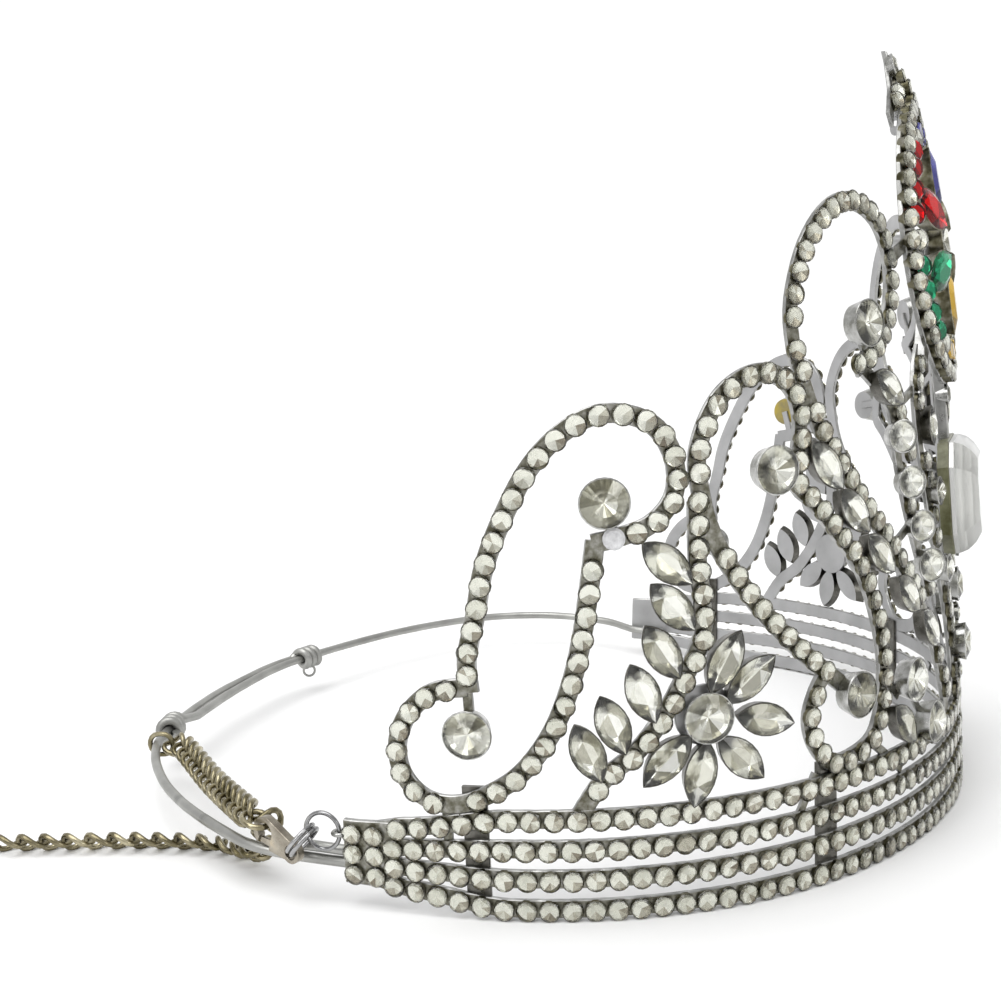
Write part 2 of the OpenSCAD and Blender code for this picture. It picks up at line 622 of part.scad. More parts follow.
small_ring(-ring_pair_shift);  // jump_ring_b
clasp_body();
clasp_lever();
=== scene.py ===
"""Looks of a rhinestone crown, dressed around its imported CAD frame.

Places on the band are (t, up): t is the length along the band from the front centre, and up is the height
over the floor. Everything is worked out in millimetres and turned into metres where a mesh is made.
"""
import math
import random

import bpy
import numpy as np
from mathutils import Matrix, Vector
from mathutils.geometry import tessellate_polygon


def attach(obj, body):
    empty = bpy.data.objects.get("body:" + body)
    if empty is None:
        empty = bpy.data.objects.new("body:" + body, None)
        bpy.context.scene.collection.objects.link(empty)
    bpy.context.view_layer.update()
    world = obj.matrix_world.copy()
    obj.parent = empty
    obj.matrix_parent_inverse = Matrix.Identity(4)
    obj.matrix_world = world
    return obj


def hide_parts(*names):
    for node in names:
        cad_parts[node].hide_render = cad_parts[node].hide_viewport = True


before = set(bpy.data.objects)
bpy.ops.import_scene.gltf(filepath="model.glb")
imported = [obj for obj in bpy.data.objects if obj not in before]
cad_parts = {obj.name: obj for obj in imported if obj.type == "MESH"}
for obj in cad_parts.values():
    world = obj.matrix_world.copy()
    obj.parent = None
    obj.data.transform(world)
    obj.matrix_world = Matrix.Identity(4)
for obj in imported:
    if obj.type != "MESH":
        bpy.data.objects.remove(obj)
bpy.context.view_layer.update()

MM = 0.001
# Side of a stone whose foil facets are painted dark beside its lower part, a painted dark reflection
PAINTED_DARK_SIDE = np.array([1.0, -1.0, 0.0])
rng = random.Random(7)

# Band, as in the CAD
BAND_LEN = 140.2
ARCS = ((52.0, 92.0), (62.0, 76.0), (40.0, 140.0))
LOOP_CENTRE = 83.0
SIDE_LEAN = math.tan(math.radians(3.2))
FRONT_LEAN = 0.035
FRONT_CURL = 3.3e-6
STRIP_W = 3.45
# Seen width of a strip, and how far it lies above the middle of its stones
SHEET_W = 2.95
SHEET_LIFT = 0.2
METAL_T = 0.9
ROWS = [STRIP_W / 2 + 5.0 * i for i in range(4)]
ROW_MIDDLE = 9.6

# Stones
SMALL_D = 3.5
PITCH = 3.6
SMALL_GIRDLE = 0.6
CHATON_D = 7.6
FLOWER_D = 8.1
MARQUISE = (10.2, 5.1)
FLOWER_PETAL = (10.8, 5.2)
SEAT = 0.3
SMALL_CUP = 1.3
DEEP_CUP = 2.0
FLOWER_CUP = 1.5
ROSETTE_CUP = 2.0
MEDAL_BED = 1.5
CREST_BED = 1.2
# Turns in degrees of the medallion's ring stones and petals at its sides, and of the crest's stones
MEDAL_SWING = 25
PETAL_SWING = 16
CREST_SWING = 32
# Turn of the falling line's stones, how far they stand out for it, and their share of the solid's size
DROP_SWING = 26
DROP_RISE = 0.6
DROP_SHARE = 0.92
# How far a small stone may reach over another one, and over a larger stone's cup
SMALL_OVERLAP = 0.3
CUP_OVERLAP = 0.75
# Place of the first small stone of each row, from the right end
FIRST_STONES = (131.7, 131.5, 131.6, 130.6)
STONES_IN_ROW = 74
PLATE_COLUMNS = (134.8, 138.6)
PLATE_ROWS = (12.9, 9.5, 5.9)

# Front
MEDAL_UP = 105.0
MEDAL_RISE = 1.6
RING_R = (18.6, 26.1)
# Rings of small stones on the medallion: (radius, diameter, count)
MEDAL_RINGS = ((24.5, SMALL_D, 42), (20.4, 4.0, 28))
# Ring stones inside this radius, and within so many degrees of a petal, have its colour
TINTED_R = 22
TINTED_REACH = 22
# Octagon stone as drawn, a little taller than its solid. Steps: (inset, height, share of the corner cut)
OCTAGON = (25.0, 20.8)
OCTAGON_CUT = 4.2
OCTAGON_UP = 58.0
OCTAGON_STEPS = [
    (3, 0.9, 0.8), (0.4, 1.4, 0.97), (0, 1.6, 1), (0, 2.4, 1), (1, 3.9, 1), (3.4, 5.3, 0.9), (7, 6.4, 0.75)]
FOIL_STEPS = 3
CREST_UP = 138.0
CREST_STONE = (6.4, 4.6)
CREST_CUP = 0.6
# Small stones of the middle line: heights, and for those of the crest (up, out)
MIDDLE_STONES = (131.6, 134.6, 126.5, 80.6, 84, 19.5, 16.5, 45.2, 72.5)
CREST_STONES = ((128.2, 2.2), (131, 2), (133.6, 1.5), (135.6, 0.9))

# Scroll ribbons of one side: points (t, up)
REAR_INNER = [
    (98, 61), (99, 54), (100.5, 45), (102.5, 37.5), (105.5, 30.5), (110, 24.5), (115, 21),
    (120.5, 19), (125.5, 19.8), (129, 23.5), (129.7, 28.5), (127.7, 33.5), (123.5, 37.3), (118, 38.3)]
REAR_OUTER = [
    (117.5, 37.5), (117.7, 43), (116, 50), (114.5, 57), (111.5, 64.5), (107.5, 72), (103, 77),
    (98, 79.8), (93, 79.8), (88.5, 77.5), (85.8, 72.5), (86, 67), (89.5, 63), (94.5, 61.3), (98.5, 60.5)]
STEM = [
    (82.3, 66), (82.2, 57), (81.5, 50), (81.6, 44.5), (84.5, 38.5), (88, 32.5), (92.5, 27), (97.5, 23),
    (101.8, 16.5)]
MIDDLE_SCROLL = [
    (52.5, 32), (60, 37.5), (66, 42.7), (72, 49), (76.6, 55.2), (79.8, 61), (81.5, 67),
    (82, 73.5), (79, 80.5), (74, 84.2), (68.5, 84.7), (64.2, 82), (62.5, 77), (63.2, 71.5),
    (63.5, 67), (60, 64), (54, 58), (49.5, 53.5), (46, 48), (43.5, 42), (42, 36), (42, 31),
    (43.3, 25.5), (46, 21.7), (51, 20), (56, 20), (60, 23.8), (61.4, 28.5), (59.8, 32.8), (57.5, 35.5)]
LINK_LINE = [
    (63.5, 88), (61, 82), (58.5, 76.5), (55, 71.8), (47, 62.5), (38, 53.8), (29, 44.5),
    (20.5, 34.5), (14, 24), (11, 16)]
UPPER_SCROLL = [
    (63, 86), (63.9, 93), (62.8, 98.5), (60, 104), (55.5, 108.3), (50, 110.8), (44.5, 111.4),
    (39, 110.2), (34.5, 107.5), (31.8, 103), (31.8, 98), (34, 93), (38.5, 88.5), (42.5, 86.3), (47, 84)]
DROP_LINE = [(47, 85.5), (40, 81), (35, 76.5), (34, 70), (32, 63), (29, 56), (25.5, 49.5), (21.5, 42)]
SHIELD_EDGE = [
    (17.5, 86), (22, 81), (22.5, 72), (20.5, 64.5), (18, 57), (14.5, 49), (10.5, 41.5),
    (6.5, 34), (3.5, 26.5), (2, 16)]
CREST_EDGE = [(14, 127), (9.5, 130), (5, 132.5), (0, 137.5)]
# Lines that carry small stones: (points, length up to the first stone)
STONE_LINES = [
    (REAR_INNER, 0.9), (REAR_OUTER, 2.95), (STEM, 0), (MIDDLE_SCROLL, 3.2), (LINK_LINE, 0),
    (UPPER_SCROLL, 0), (SHIELD_EDGE, 0), (DROP_LINE, 0), (CREST_EDGE, 0)]
# Ribbons under them, each a little behind the one before, and their widths
RIBBONS = (REAR_INNER, REAR_OUTER, STEM, MIDDLE_SCROLL, LINK_LINE, UPPER_SCROLL, DROP_LINE, SHIELD_EDGE,
           CREST_EDGE)
RIBBON_WIDTHS = [SHEET_W] * 6 + [2.6, SHEET_W, 3.0]
# Straight links between scrolls and cups: (t, up, t, up)
SHORT_LINKS = [
    (60, 19, 64, 12), (42.4, 32.6, 36.6, 27.2), (45, 50.5, 30, 56), (46, 21.5, 36, 14), (19.5, 66, 10, 64),
    (15, 50, 9, 50), (32, 64, 20, 64), (36, 76, 21, 80), (122.3, 20, 122.3, 12), (27, 21, 12, 20),
    (27, 21, 34, 30), (38, 22, 43, 28), (96.9, 67.1, 95, 61), (117.8, 31.5, 118, 37.5),
    (69.5, 70, 63.2, 71), (46.2, 91.5, 43.5, 86.3)]
MEDAL_POSTS = [(31.6, 102.8, 23.1, 105.2), (19, 84.5, 14.5, 90)]
# Strips of the middle line: (low, high, width, back, front)
POSTS = [(15, 70, STRIP_W, -METAL_T + 0.06, -0.05), (66, 82, STRIP_W, -METAL_T + 0.09, MEDAL_RISE - 0.4),
         (129, 140.9, 3.2, -METAL_T + 0.06, 0.1)]
# Plates behind the strips: (t from, t to, up from, up to)
STRUTS = [(54.8, 59.4, 2.6, 20.5), (115.8, 119.8, 2.4, 22)]

# Round stones in deep cups: (t, up)
CHATONS = [(96.9, 67.1), (117.8, 31.5), (69.5, 70), (51.8, 31.2), (46.2, 91.5), (34.6, 30), (26.9, 20.6)]
FLOWER_AT = (81.35, 32.3)
# Marquise stones: (t, up, turn)
FLOWER_PETALS = [
    (78.5, 40.9, 61), (74.2, 37.6, 38), (71.6, 30.7, -14), (75.9, 25.1, -44), (82.7, 23.4, -102),
    (88, 26.1, -135)]
LEAVES = [
    (87.7, 57.2, -41), (86.9, 50.4, -48), (88.6, 43.5, -58), (91.6, 37.2, -68), (96.2, 32.5, -68),
    (100, 28.2, -67)]
BRANCHES = [
    (58.3, 69.6, -51), (51.6, 61.5, -48), (44.5, 53.5, -44), (35.3, 45.1, -43), (26.3, 37.4, -46),
    (39, 80.6, -34), (37.6, 22.8, -48)]
# Stones of the falling line: (t, up, diameter)
DROPS = [(35.5, 72.2, 6), (32.7, 64.1, 6), (28.9, 56, 6), (25.3, 48.6, 6.4)]
# Stones beside the octagon: (t, up, length, width, turn)
FLANKS = [(19.6, 72.6, 7, 4, 90), (17.4, 60.6, 5, 5, 0), (13.4, 45.8, 5, 5, 0)]
# Stones of the middle column: (up, diameter, height of the cup)
COLUMN = [(76.8, 4, 1.3), (40.2, 6.5, 1), (34.6, 3, 0.8), (28.9, 7, 2), (23.2, 3, 0.8)]
# Small stones that lie beside the lines, the last one with a frosted face: (t, up)
LONE_STONES = [(47, 85), (33.1, 76.1), (29.4, 68.9), (16.4, 52.1), (18.4, 30.6), (95.4, 61.3)]
FROSTED_AT = LONE_STONES[-1]
# Cup whose back is yellow on the left
YELLOW_BACK = CHATONS[0]
# Petals of the rosette: (colour, turn)
PETALS = [("red", 150), ("green", 210), ("blue", 90), ("gold", 270), ("clear_a", 30), ("clear_b", 330)]
PETAL = (12.4, 6.4)
PETAL_FROM = 4.9


def turn_and_place(t):
    """Heading of the band in radians and its place in plan at length t."""
    turn, place, left = 0.0, np.zeros(2), abs(t)
    for length, radius in ARCS:
        new = turn + min(left, length) / radius
        place = place + radius * np.array([math.sin(turn) - math.sin(new), math.cos(turn) - math.cos(new)])
        turn, left = new, left - length
        if left <= 0:
            break
    side = -1 if t < 0 else 1
    return side * turn, np.array([side * place[0], place[1] - LOOP_CENTRE])


def wall(t, up, out=0.0):
    """Point of the wall, out millimetres in front of the metal's front face."""
    turn, place = turn_and_place(t)
    share = math.sin(turn) ** 2
    lean = share * up * SIDE_LEAN - (1 - share) * (FRONT_LEAN * up + FRONT_CURL * up ** 3)
    x, y = place + (lean + out) * np.array([-math.sin(turn), -math.cos(turn)])
    return np.array([x, y, up])


def unit(v):
    return v / np.linalg.norm(v)


def cos_sin(degrees):
    return math.cos(math.radians(degrees)), math.sin(math.radians(degrees))


def circle(n):
    """Cosine and sine of n equal steps round a circle."""
    return [(math.cos(2 * math.pi * k / n), math.sin(2 * math.pi * k / n)) for k in range(n)]


def spin(degrees):
    c, s = cos_sin(degrees)
    return np.array([[c, -s, 0], [s, c, 0], [0, 0, 1]])


class Seat:
    """A place on the wall with its own axes: x along the band, y up the wall, z outward."""

    def __init__(self, t, up, turn=0.0, out=0.0, mirrored=False):
        angle, _ = turn_and_place(t)
        share = math.sin(angle) ** 2
        slope = share * SIDE_LEAN - (1 - share) * (FRONT_LEAN + 3 * FRONT_CURL * up ** 2)
        forward = np.array([math.cos(angle), -math.sin(angle), 0])
        upward = unit(np.array([-slope * math.sin(angle), -slope * math.cos(angle), 1]))
        facing = np.cross(forward, upward)
        self.axes = np.stack([forward, upward, facing], 1) @ spin(turn)
        self.at = wall(t, up) + out * facing
        if mirrored:
            flip = np.diag([-1, 1, 1])
            self.axes, self.at = flip @ self.axes @ flip, flip @ self.at

    def swung(self, degrees):
        """The same place, turned about its upward axis."""
        c, s = cos_sin(degrees)
        self.axes = self.axes @ np.array([[c, 0, s], [0, 1, 0], [-s, 0, c]])
        return self

    def tilted(self, amount):
        """The same place, leaning and turned a little, the way a stone set by hand sits."""
        a, b = (math.radians(rng.uniform(-amount, amount)) for _ in range(2))
        lean = np.array([[1, 0, a], [0, 1, b], [-a, -b, 1]])
        self.axes = self.axes @ lean @ spin(rng.uniform(0, 360))
        return self

    def put(self, points):
        return [self.at + self.axes @ np.array(p, float) for p in points]


class Shape:
    """Points in millimetres, faces, and for each face its paint and tone."""

    def __init__(self):
        self.points, self.faces, self.paints, self.tones = [], [], [], []

    def add(self, points, faces, paint=0, tone=None):
        base = len(self.points)
        self.points += [np.asarray(p, float) for p in points]
        self.faces += [tuple(base + i for i in f) for f in faces]
        self.paints += paint if isinstance(paint, list) else [paint] * len(faces)
        self.tones += tone or [0.5] * len(faces)

    def loft(self, rings, paint=0, closed=False, sides=None):
        """Skin over rings of equal point counts, which run counter-clockwise seen from the last ring.

        Sides gives a paint for each side of the ring, where they differ.
        """
        n, m = len(rings[0]), len(rings)
        spans = m if closed else m - 1
        faces = [(i * n + k, i * n + (k + 1) % n, (i + 1) % m * n + (k + 1) % n, (i + 1) % m * n + k)
                 for i in range(spans) for k in range(n)]
        paints = (sides or [paint] * n) * spans
        if not closed:
            faces += [tuple(range(n - 1, -1, -1)), tuple(range((m - 1) * n, m * n))]
            paints += [paint, paint]
        self.add([p for ring in rings for p in ring], faces, paints)


def added(name, data):
    """New object with this data, in the scene."""
    made = bpy.data.objects.new(name, data)
    bpy.context.scene.collection.objects.link(made)
    return made


def dressed(name, shape, paints, replaces=(), smooth=True, body="crown"):
    """Makes the object of a shape, which rides on its body and stands for the CAD nodes that it replaces."""
    mesh = bpy.data.meshes.new(name)
    mesh.from_pydata([tuple(p * MM) for p in shape.points], [], shape.faces)
    for paint in paints:
        mesh.materials.append(paint)
    mesh.polygons.foreach_set("material_index", shape.paints)
    mesh.polygons.foreach_set("use_smooth", [smooth] * len(shape.faces))
    tone = mesh.attributes.new("tone", "FLOAT", "FACE")
    tone.data.foreach_set("value", shape.tones)
    if smooth:
        mesh.set_sharp_from_angle(angle=math.radians(38))
    mesh.update()
    thing = added(name, mesh)
    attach(thing, body)
    if replaces:
        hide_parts(*replaces)


# Curves
def smooth_path(points, steps):
    """Catmull-Rom curve through the points."""
    p = [np.array(q, float) for q in points]
    last = len(p) - 1
    found = []
    for i in range(last):
        a, b, c, d = p[max(i - 1, 0)], p[i], p[i + 1], p[min(i + 2, last)]
        for k in range(steps):
            s = k / steps
            found.append(0.5 * (2 * b + (c - a) * s + (2 * a - 5 * b + 4 * c - d) * s ** 2
                                + (3 * b - a - 3 * c + d) * s ** 3))
    return found + [p[last]]


def lengths(path):
    steps = [np.linalg.norm(b - a) for a, b in zip(path, path[1:])]
    return np.concatenate([[0], np.cumsum(steps)])


def along(path, s):
    """Point at length s of a path."""
    marks = lengths(path)
    return np.array([np.interp(s, marks, [p[k] for p in path]) for k in range(len(path[0]))])


def resampled(path, step):
    total = lengths(path)[-1]
    count = max(2, round(total / step))
    return [along(path, total * i / count) for i in range(count + 1)]


def directions(path, closed=False):
    n = len(path)
    if closed:
        return [unit(path[(i + 1) % n] - path[i - 1]) for i in range(n)]
    return [unit(path[min(i + 1, n - 1)] - path[max(i - 1, 0)]) for i in range(n)]


# Materials
def tree_of(name):
    material = bpy.data.materials.new(name)
    material.use_nodes = True
    tree = material.node_tree
    return material, tree, tree.nodes["Principled BSDF"]


def node(tree, kind, **inputs):
    made = tree.nodes.new(kind)
    for key, value in inputs.items():
        made.inputs[key.replace("_", " ")].default_value = value
    return made


def noise(tree, scale, detail=4.0, roughness=0.55):
    """Noise in the object's own coordinates, with scale in features for each metre."""
    place = tree.nodes.new("ShaderNodeTexCoord")
    made = node(tree, "ShaderNodeTexNoise", Scale=scale, Detail=detail, Roughness=roughness)
    tree.links.new(place.outputs["Object"], made.inputs["Vector"])
    return made.outputs["Fac"]


def ramp(tree, source, stops):
    """Colours or greys between (place, value) stops."""
    made = tree.nodes.new("ShaderNodeValToRGB")
    while len(made.color_ramp.elements) < len(stops):
        made.color_ramp.elements.new(0.5)
    for element, (place, value) in zip(made.color_ramp.elements, stops):
        element.position = place
        element.color = (*value, 1) if isinstance(value, tuple) else (value, value, value, 1)
    tree.links.new(source, made.inputs["Fac"])
    return made.outputs["Color"]


def drive(tree, target, name, source, stops):
    """Feeds an input of the target from a source, through a ramp."""
    tree.links.new(ramp(tree, source, stops), target.inputs[name])


def face_tone(tree):
    """The tone that every face carries."""
    made = tree.nodes.new("ShaderNodeAttribute")
    made.attribute_name = "tone"
    return made.outputs["Fac"]


def bumped(tree, shader, source, strength, distance):
    made = node(tree, "ShaderNodeBump", Strength=strength, Distance=distance)
    tree.links.new(source, made.inputs["Height"])
    tree.links.new(made.outputs["Normal"], shader.inputs["Normal"])


def metal(name, stops, roughness, scale=260.0, grain=0.25, marked=False):
    """Worn metal: its colour runs between the stops in patches, and it is rougher where it is dull.

    Marked metal is darker where the faces' tone is low.
    """
    material, tree, shader = tree_of(name)
    shader.inputs["Metallic"].default_value = 1.0
    colour = ramp(tree, noise(tree, scale), stops)
    if marked:
        mix = node(tree, "ShaderNodeMixRGB", Fac=1.0)
        mix.blend_type = "MULTIPLY"
        tree.links.new(colour, mix.inputs["Color1"])
        drive(tree, mix, "Color2", face_tone(tree), [(0.0, 0.42), (0.45, 1.0)])
        colour = mix.outputs["Color"]
    tree.links.new(colour, shader.inputs["Base Color"])
    drive(tree, shader, "Roughness", noise(tree, scale * 2.3), [(0.3, roughness[0]), (0.7, roughness[1])])
    bumped(tree, shader, noise(tree, scale * 6), grain, 0.0001)
    return material


def glass(name, colour, ior=1.5):
    material, tree, shader = tree_of(name)
    shader.inputs["Base Color"].default_value = (*colour, 1)
    shader.inputs["Transmission Weight"].default_value = 1.0
    shader.inputs["IOR"].default_value = ior
    shader.inputs["Specular IOR Level"].default_value = 0.3
    drive(tree, shader, "Roughness", noise(tree, 420.0), [(0.45, 0.0), (0.75, 0.03)])
    return material


def foil(name, stops, roughness=(0.06, 0.2)):
    """Foil behind a stone: each facet has its own tone between the stops, a painted reflection."""
    material, tree, shader = tree_of(name)
    shader.inputs["Metallic"].default_value = 1.0
    drive(tree, shader, "Base Color", face_tone(tree), stops)
    drive(tree, shader, "Roughness", noise(tree, 900.0), [(0.4, roughness[0]), (0.8, roughness[1])])
    return material


edge_metal = metal("edge_metal", [(0.3, (0.20, 0.20, 0.19)), (0.6, (0.42, 0.42, 0.41))], (0.24, 0.4))
front_metal = metal("front_metal", [(0.35, (0.105, 0.10, 0.07)), (0.5, (0.21, 0.205, 0.17)),
                                    (0.7, (0.38, 0.375, 0.35))], (0.24, 0.5), 700.0, 0.5)
back_metal = metal("back_metal", [(0.3, 0.36), (0.7, (0.50, 0.50, 0.505))], (0.42, 0.56), 90.0, 0.15)
cup_metal = metal("cup_metal", [(0.35, (0.06, 0.055, 0.03)), (0.5, (0.16, 0.15, 0.10)),
                                (0.7, (0.34, 0.33, 0.29))], (0.28, 0.5), 500.0)
dark_metal = metal("dark_metal", [(0.35, (0.05, 0.048, 0.04)), (0.65, (0.16, 0.155, 0.14))], (0.22, 0.42),
                   300.0)
bright_rim = metal("bright_rim", [(0.35, (0.20, 0.20, 0.18)), (0.65, (0.55, 0.55, 0.54))], (0.16, 0.3),
                   380.0)
wire_metal = metal("wire_metal", [(0.3, (0.31, 0.31, 0.295)), (0.7, (0.44, 0.44, 0.42))], (0.34, 0.5),
                   120.0, 0.4, marked=True)
chain_metal = metal("chain_metal", [(0.3, (0.10, 0.085, 0.04)), (0.5, (0.25, 0.22, 0.14)),
                                    (0.72, (0.54, 0.49, 0.34))], (0.16, 0.36), 240.0)
ring_metal = metal("ring_metal", [(0.3, (0.20, 0.20, 0.205)), (0.7, 0.44)], (0.12, 0.26), 150.0)
clasp_metal = metal("clasp_metal", [(0.3, (0.20, 0.175, 0.14)), (0.6, (0.42, 0.385, 0.32)),
                                    (0.75, (0.58, 0.50, 0.37))], (0.18, 0.4), 260.0)

clear_glass = glass("clear_glass", (0.97, 0.975, 0.94))
small_foil = foil("small_foil", [(0.1, (0.15, 0.12, 0.08)), (0.35, (0.44, 0.42, 0.35)),
                                 (0.6, (0.66, 0.66, 0.59)), (1.0, (0.82, 0.82, 0.76))], (0.2, 0.4))
clear_foil = foil("clear_foil", [(0.1, (0.27, 0.26, 0.20)), (0.4, (0.60, 0.59, 0.52)),
                                 (0.7, (0.86, 0.86, 0.81)), (1.0, (0.92, 0.92, 0.90))], (0.13, 0.3))
octagon_foil = foil("octagon_foil", [(0.2, (0.58, 0.58, 0.565)), (1.0, (0.74, 0.74, 0.73))], (0.42, 0.55))
yellow_back = metal("yellow_back", [(0.35, (0.30, 0.26, 0.14)), (0.6, (0.48, 0.38, 0.10))], (0.3, 0.5), 300.0)
# Tints of the coloured glass and of the foil under it. It refracts little, so that the foil shows
COLOURED_IOR = 1.28
COLOURS = {
    "red": ((0.85, 0.03, 0.04), (0.60, 0.06, 0.07)),
    "green": ((0.10, 0.60, 0.40), (0.18, 0.48, 0.34)),
    "blue": ((0.28, 0.28, 0.62), (0.28, 0.28, 0.48)),
    "gold": ((0.88, 0.66, 0.18), (0.66, 0.56, 0.26)),
}
coloured = {
    name: (glass("glass_" + name, tint, COLOURED_IOR),
           foil("foil_" + name, [(0.1, tuple(c * 0.3 for c in back)), (0.6, back)]))
    for name, (tint, back) in COLOURS.items()
}
coloured["clear"] = (clear_glass, clear_foil)


def glue():
    """Dried glue, olive green and glossy."""
    material, tree, shader = tree_of("green_glue")
    drive(tree, shader, "Base Color", noise(tree, 400.0),
          [(0.35, (0.085, 0.085, 0.035)), (0.65, (0.20, 0.20, 0.12))])
    shader.inputs["Roughness"].default_value = 0.3
    bumped(tree, shader, noise(tree, 900.0), 0.4, 0.0002)
    return material


green_glue = glue()


def frosted():
    material, tree, shader = tree_of("frosted_face")
    drive(tree, shader, "Base Color", noise(tree, 1500.0),
          [(0.3, (0.52, 0.52, 0.53)), (0.7, (0.74, 0.74, 0.75))])
    shader.inputs["Roughness"].default_value = 0.45
    return material


# Outlines of stones, counter-clockwise, with an even number of points
def round_outline(d, n=16):
    return [(d / 2 * c, d / 2 * s) for c, s in circle(n)]


def marquise_outline(length, width, n=16):
    """Two arcs that meet in two tips."""
    radius = (length ** 2 / width + width) / 4
    found = []
    for k in range(n):
        a = 2 * math.pi * k / n
        x = math.cos(a) * length / 2
        y = math.sqrt(max(radius ** 2 - x ** 2, 0)) - radius + width / 2
        found.append((x, 0 if k in (0, n // 2) else math.copysign(y, math.sin(a))))
    return found


def octagon_outline(w, h, cut):
    return [(w / 2, h / 2 - cut), (w / 2 - cut, h / 2), (cut - w / 2, h / 2), (-w / 2, h / 2 - cut),
            (-w / 2, cut - h / 2), (cut - w / 2, -h / 2), (w / 2 - cut, -h / 2), (w / 2, cut - h / 2)]


def painted_reflection_tone(seat, x, y, painted_dark_way, spread):
    """Tone of the foil towards (x, y), a painted reflection: the facets within a spread of the stone's dark
    direction are painted dark.
    """
    way = seat.axes @ np.array([x, y, 0.0])
    turn = math.atan2(way[2], math.copysign(math.hypot(way[0], way[1]), way @ PAINTED_DARK_SIDE))
    off = abs((turn - painted_dark_way + math.pi) % (2 * math.pi) - math.pi)
    dark = off < spread or rng.random() < 0.08
    return rng.uniform(0.0, 0.3) if dark else rng.uniform(0.6, 1.0)


def gem(shape, seat, outline, rise, crown, pavilion, table=0.56, ridge=0.0, spread=50.0, lively=None):
    """Cut stone: paint 0 is its glass, paint 1 the foil under it.

    Ridge is the half length of its lower edge, and spread the half angle of its painted dark part in degrees.
    The foil's facet tones are painted reflections; in a lively stone every facet has a tone of its own,
    between the two that are given.
    """
    painted_dark_way = math.radians(rng.uniform(-110, -20))
    n = len(outline)
    half = n // 2
    girdle = [(x, y, rise) for x, y in outline]
    top = [(outline[2 * j][0] * table, outline[2 * j][1] * table, rise + crown) for j in range(half)]
    culets = [(ridge, 0, rise - pavilion), (-ridge, 0, rise - pavilion)]
    t0, c0 = n, n + half
    faces, paints, tones = [tuple(t0 + j for j in range(half))], [0], [0.5]
    for j in range(half):
        here, after, before = 2 * j, 2 * j + 1, (2 * j - 1) % n
        faces += [(t0 + j, before, here), (t0 + j, here, after), (t0 + j, after, t0 + (j + 1) % half)]
        paints += [0, 0, 0]
        tones += [0.5, 0.5, 0.5]
    for j in range(half):
        a, b, c = (2 * j - 1) % n, 2 * j, 2 * j + 1
        tone = (rng.uniform(*lively) if lively
                else painted_reflection_tone(seat, *outline[b], painted_dark_way, math.radians(spread)))
        for p, q in ((a, b), (b, c)):
            end = c0 if not ridge or outline[p][0] + outline[q][0] >= 0 else c0 + 1
            faces.append((p, end, q))
            paints.append(1)
            tones.append(tone + rng.uniform(-0.08, 0.08))
    if ridge:
        quarter = n // 4
        faces += [(quarter, c0, c0 + 1), (3 * quarter, c0 + 1, c0)]
        paints += [1, 1]
        tones += [rng.uniform(0.4, 1.0), rng.uniform(0.2, 0.8)]
    shape.add(seat.put(girdle + top + culets), faces, paints, tones)


def flat_back(shape, seat, d, rise):
    """Flat backed stone: a wide table over a flat foil, and a ring of small facets round it."""
    outline = round_outline(d)
    n, half = 16, 8
    girdle = [(x, y, rise) for x, y in outline]
    top = [(outline[2 * j][0] * 0.8, outline[2 * j][1] * 0.8, rise + 0.1 * d) for j in range(half)]
    low = [(outline[2 * j + 1][0] * 0.84, outline[2 * j + 1][1] * 0.84, rise - 0.07 * d) for j in range(half)]
    t0, l0 = n, n + half
    painted_dark_way = math.radians(rng.uniform(-110, -20))
    # Foil tones: facets towards the dark side are painted dark as a painted reflection, the rest lighter; a
    # few stones have a dimmer flat foil
    flat = rng.uniform(0.2, 0.5) if rng.random() < 0.015 else rng.uniform(0.6, 1.0)
    faces, paints, tones = [tuple(t0 + j for j in range(half))], [0], [0.5]
    for j in range(half):
        way = outline[(2 * j + 2) % n]
        faces.append((l0 + half, l0 + (j + 1) % half, l0 + j))
        paints.append(1)
        tones.append(min(flat, painted_reflection_tone(seat, *way, painted_dark_way, 0.95) + rng.uniform(0.1, 0.3)))
    for j in range(half):
        here, after, before, following = 2 * j, 2 * j + 1, (2 * j - 1) % n, (2 * j + 2) % n
        faces += [(t0 + j, before, here), (t0 + j, here, after), (t0 + j, after, t0 + (j + 1) % half)]
        faces += [(here, l0 + j, after), (after, l0 + j, following), (l0 + (j - 1) % half, l0 + j, here)]
        paints += [0, 0, 0, 1, 1, 1]
        tones += [0.5, 0.5, 0.5] + [painted_reflection_tone(seat, *outline[k], painted_dark_way, 1.1) for k in (here, after, here)]
    culet = [(0, 0, rise - 0.11 * d)]
    shape.add(seat.put(girdle + top + low + culet), faces, paints, tones)


def bezel(shape, seat, outline, foot, top, wall_t=0.16, taper=0.82, fold=0.06, back=1):
    """Cup round a stone: outer wall from foot to top, a folded rim, and the inside down to the foot.

    Back is the paint of its back.
    """
    def ring(scale, grow, z):
        found = []
        for x, y in outline:
            r = math.hypot(x, y)
            found.append((x * scale * (1 + grow / r), y * scale * (1 + grow / r), z))
        return seat.put(found)

    rings = [ring(taper, wall_t, foot), ring(1, wall_t, top - 0.1), ring(1, wall_t - 0.06, top),
             ring(1, -fold, top + 0.03), ring(0.9, -fold - 0.1, foot + 0.1)]
    shape.loft(rings)
    shape.paints[-2] = back


# Stones and cups of both sides
taken = []


def take(seat, spots):
    """Notes where metal or glass is, so that no small stone is set into it. Spots are (x, y, radius)."""
    taken.extend((seat.at + seat.axes @ np.array([x, y, 0]), r) for x, y, r in spots)


def free(point, radius):
    """True where a small stone has room. It may cover a little of its neighbours."""
    return all(np.linalg.norm(point - p) > radius + r - (SMALL_OVERLAP if 1.5 < r < 2.1 else CUP_OVERLAP)
               for p, r in taken)


def cut_stones(name, shape, colour="clear"):
    """Cut stones that stand for the CAD node of this name."""
    dressed(name + "_cut", shape, list(coloured[colour]), [name], smooth=False)
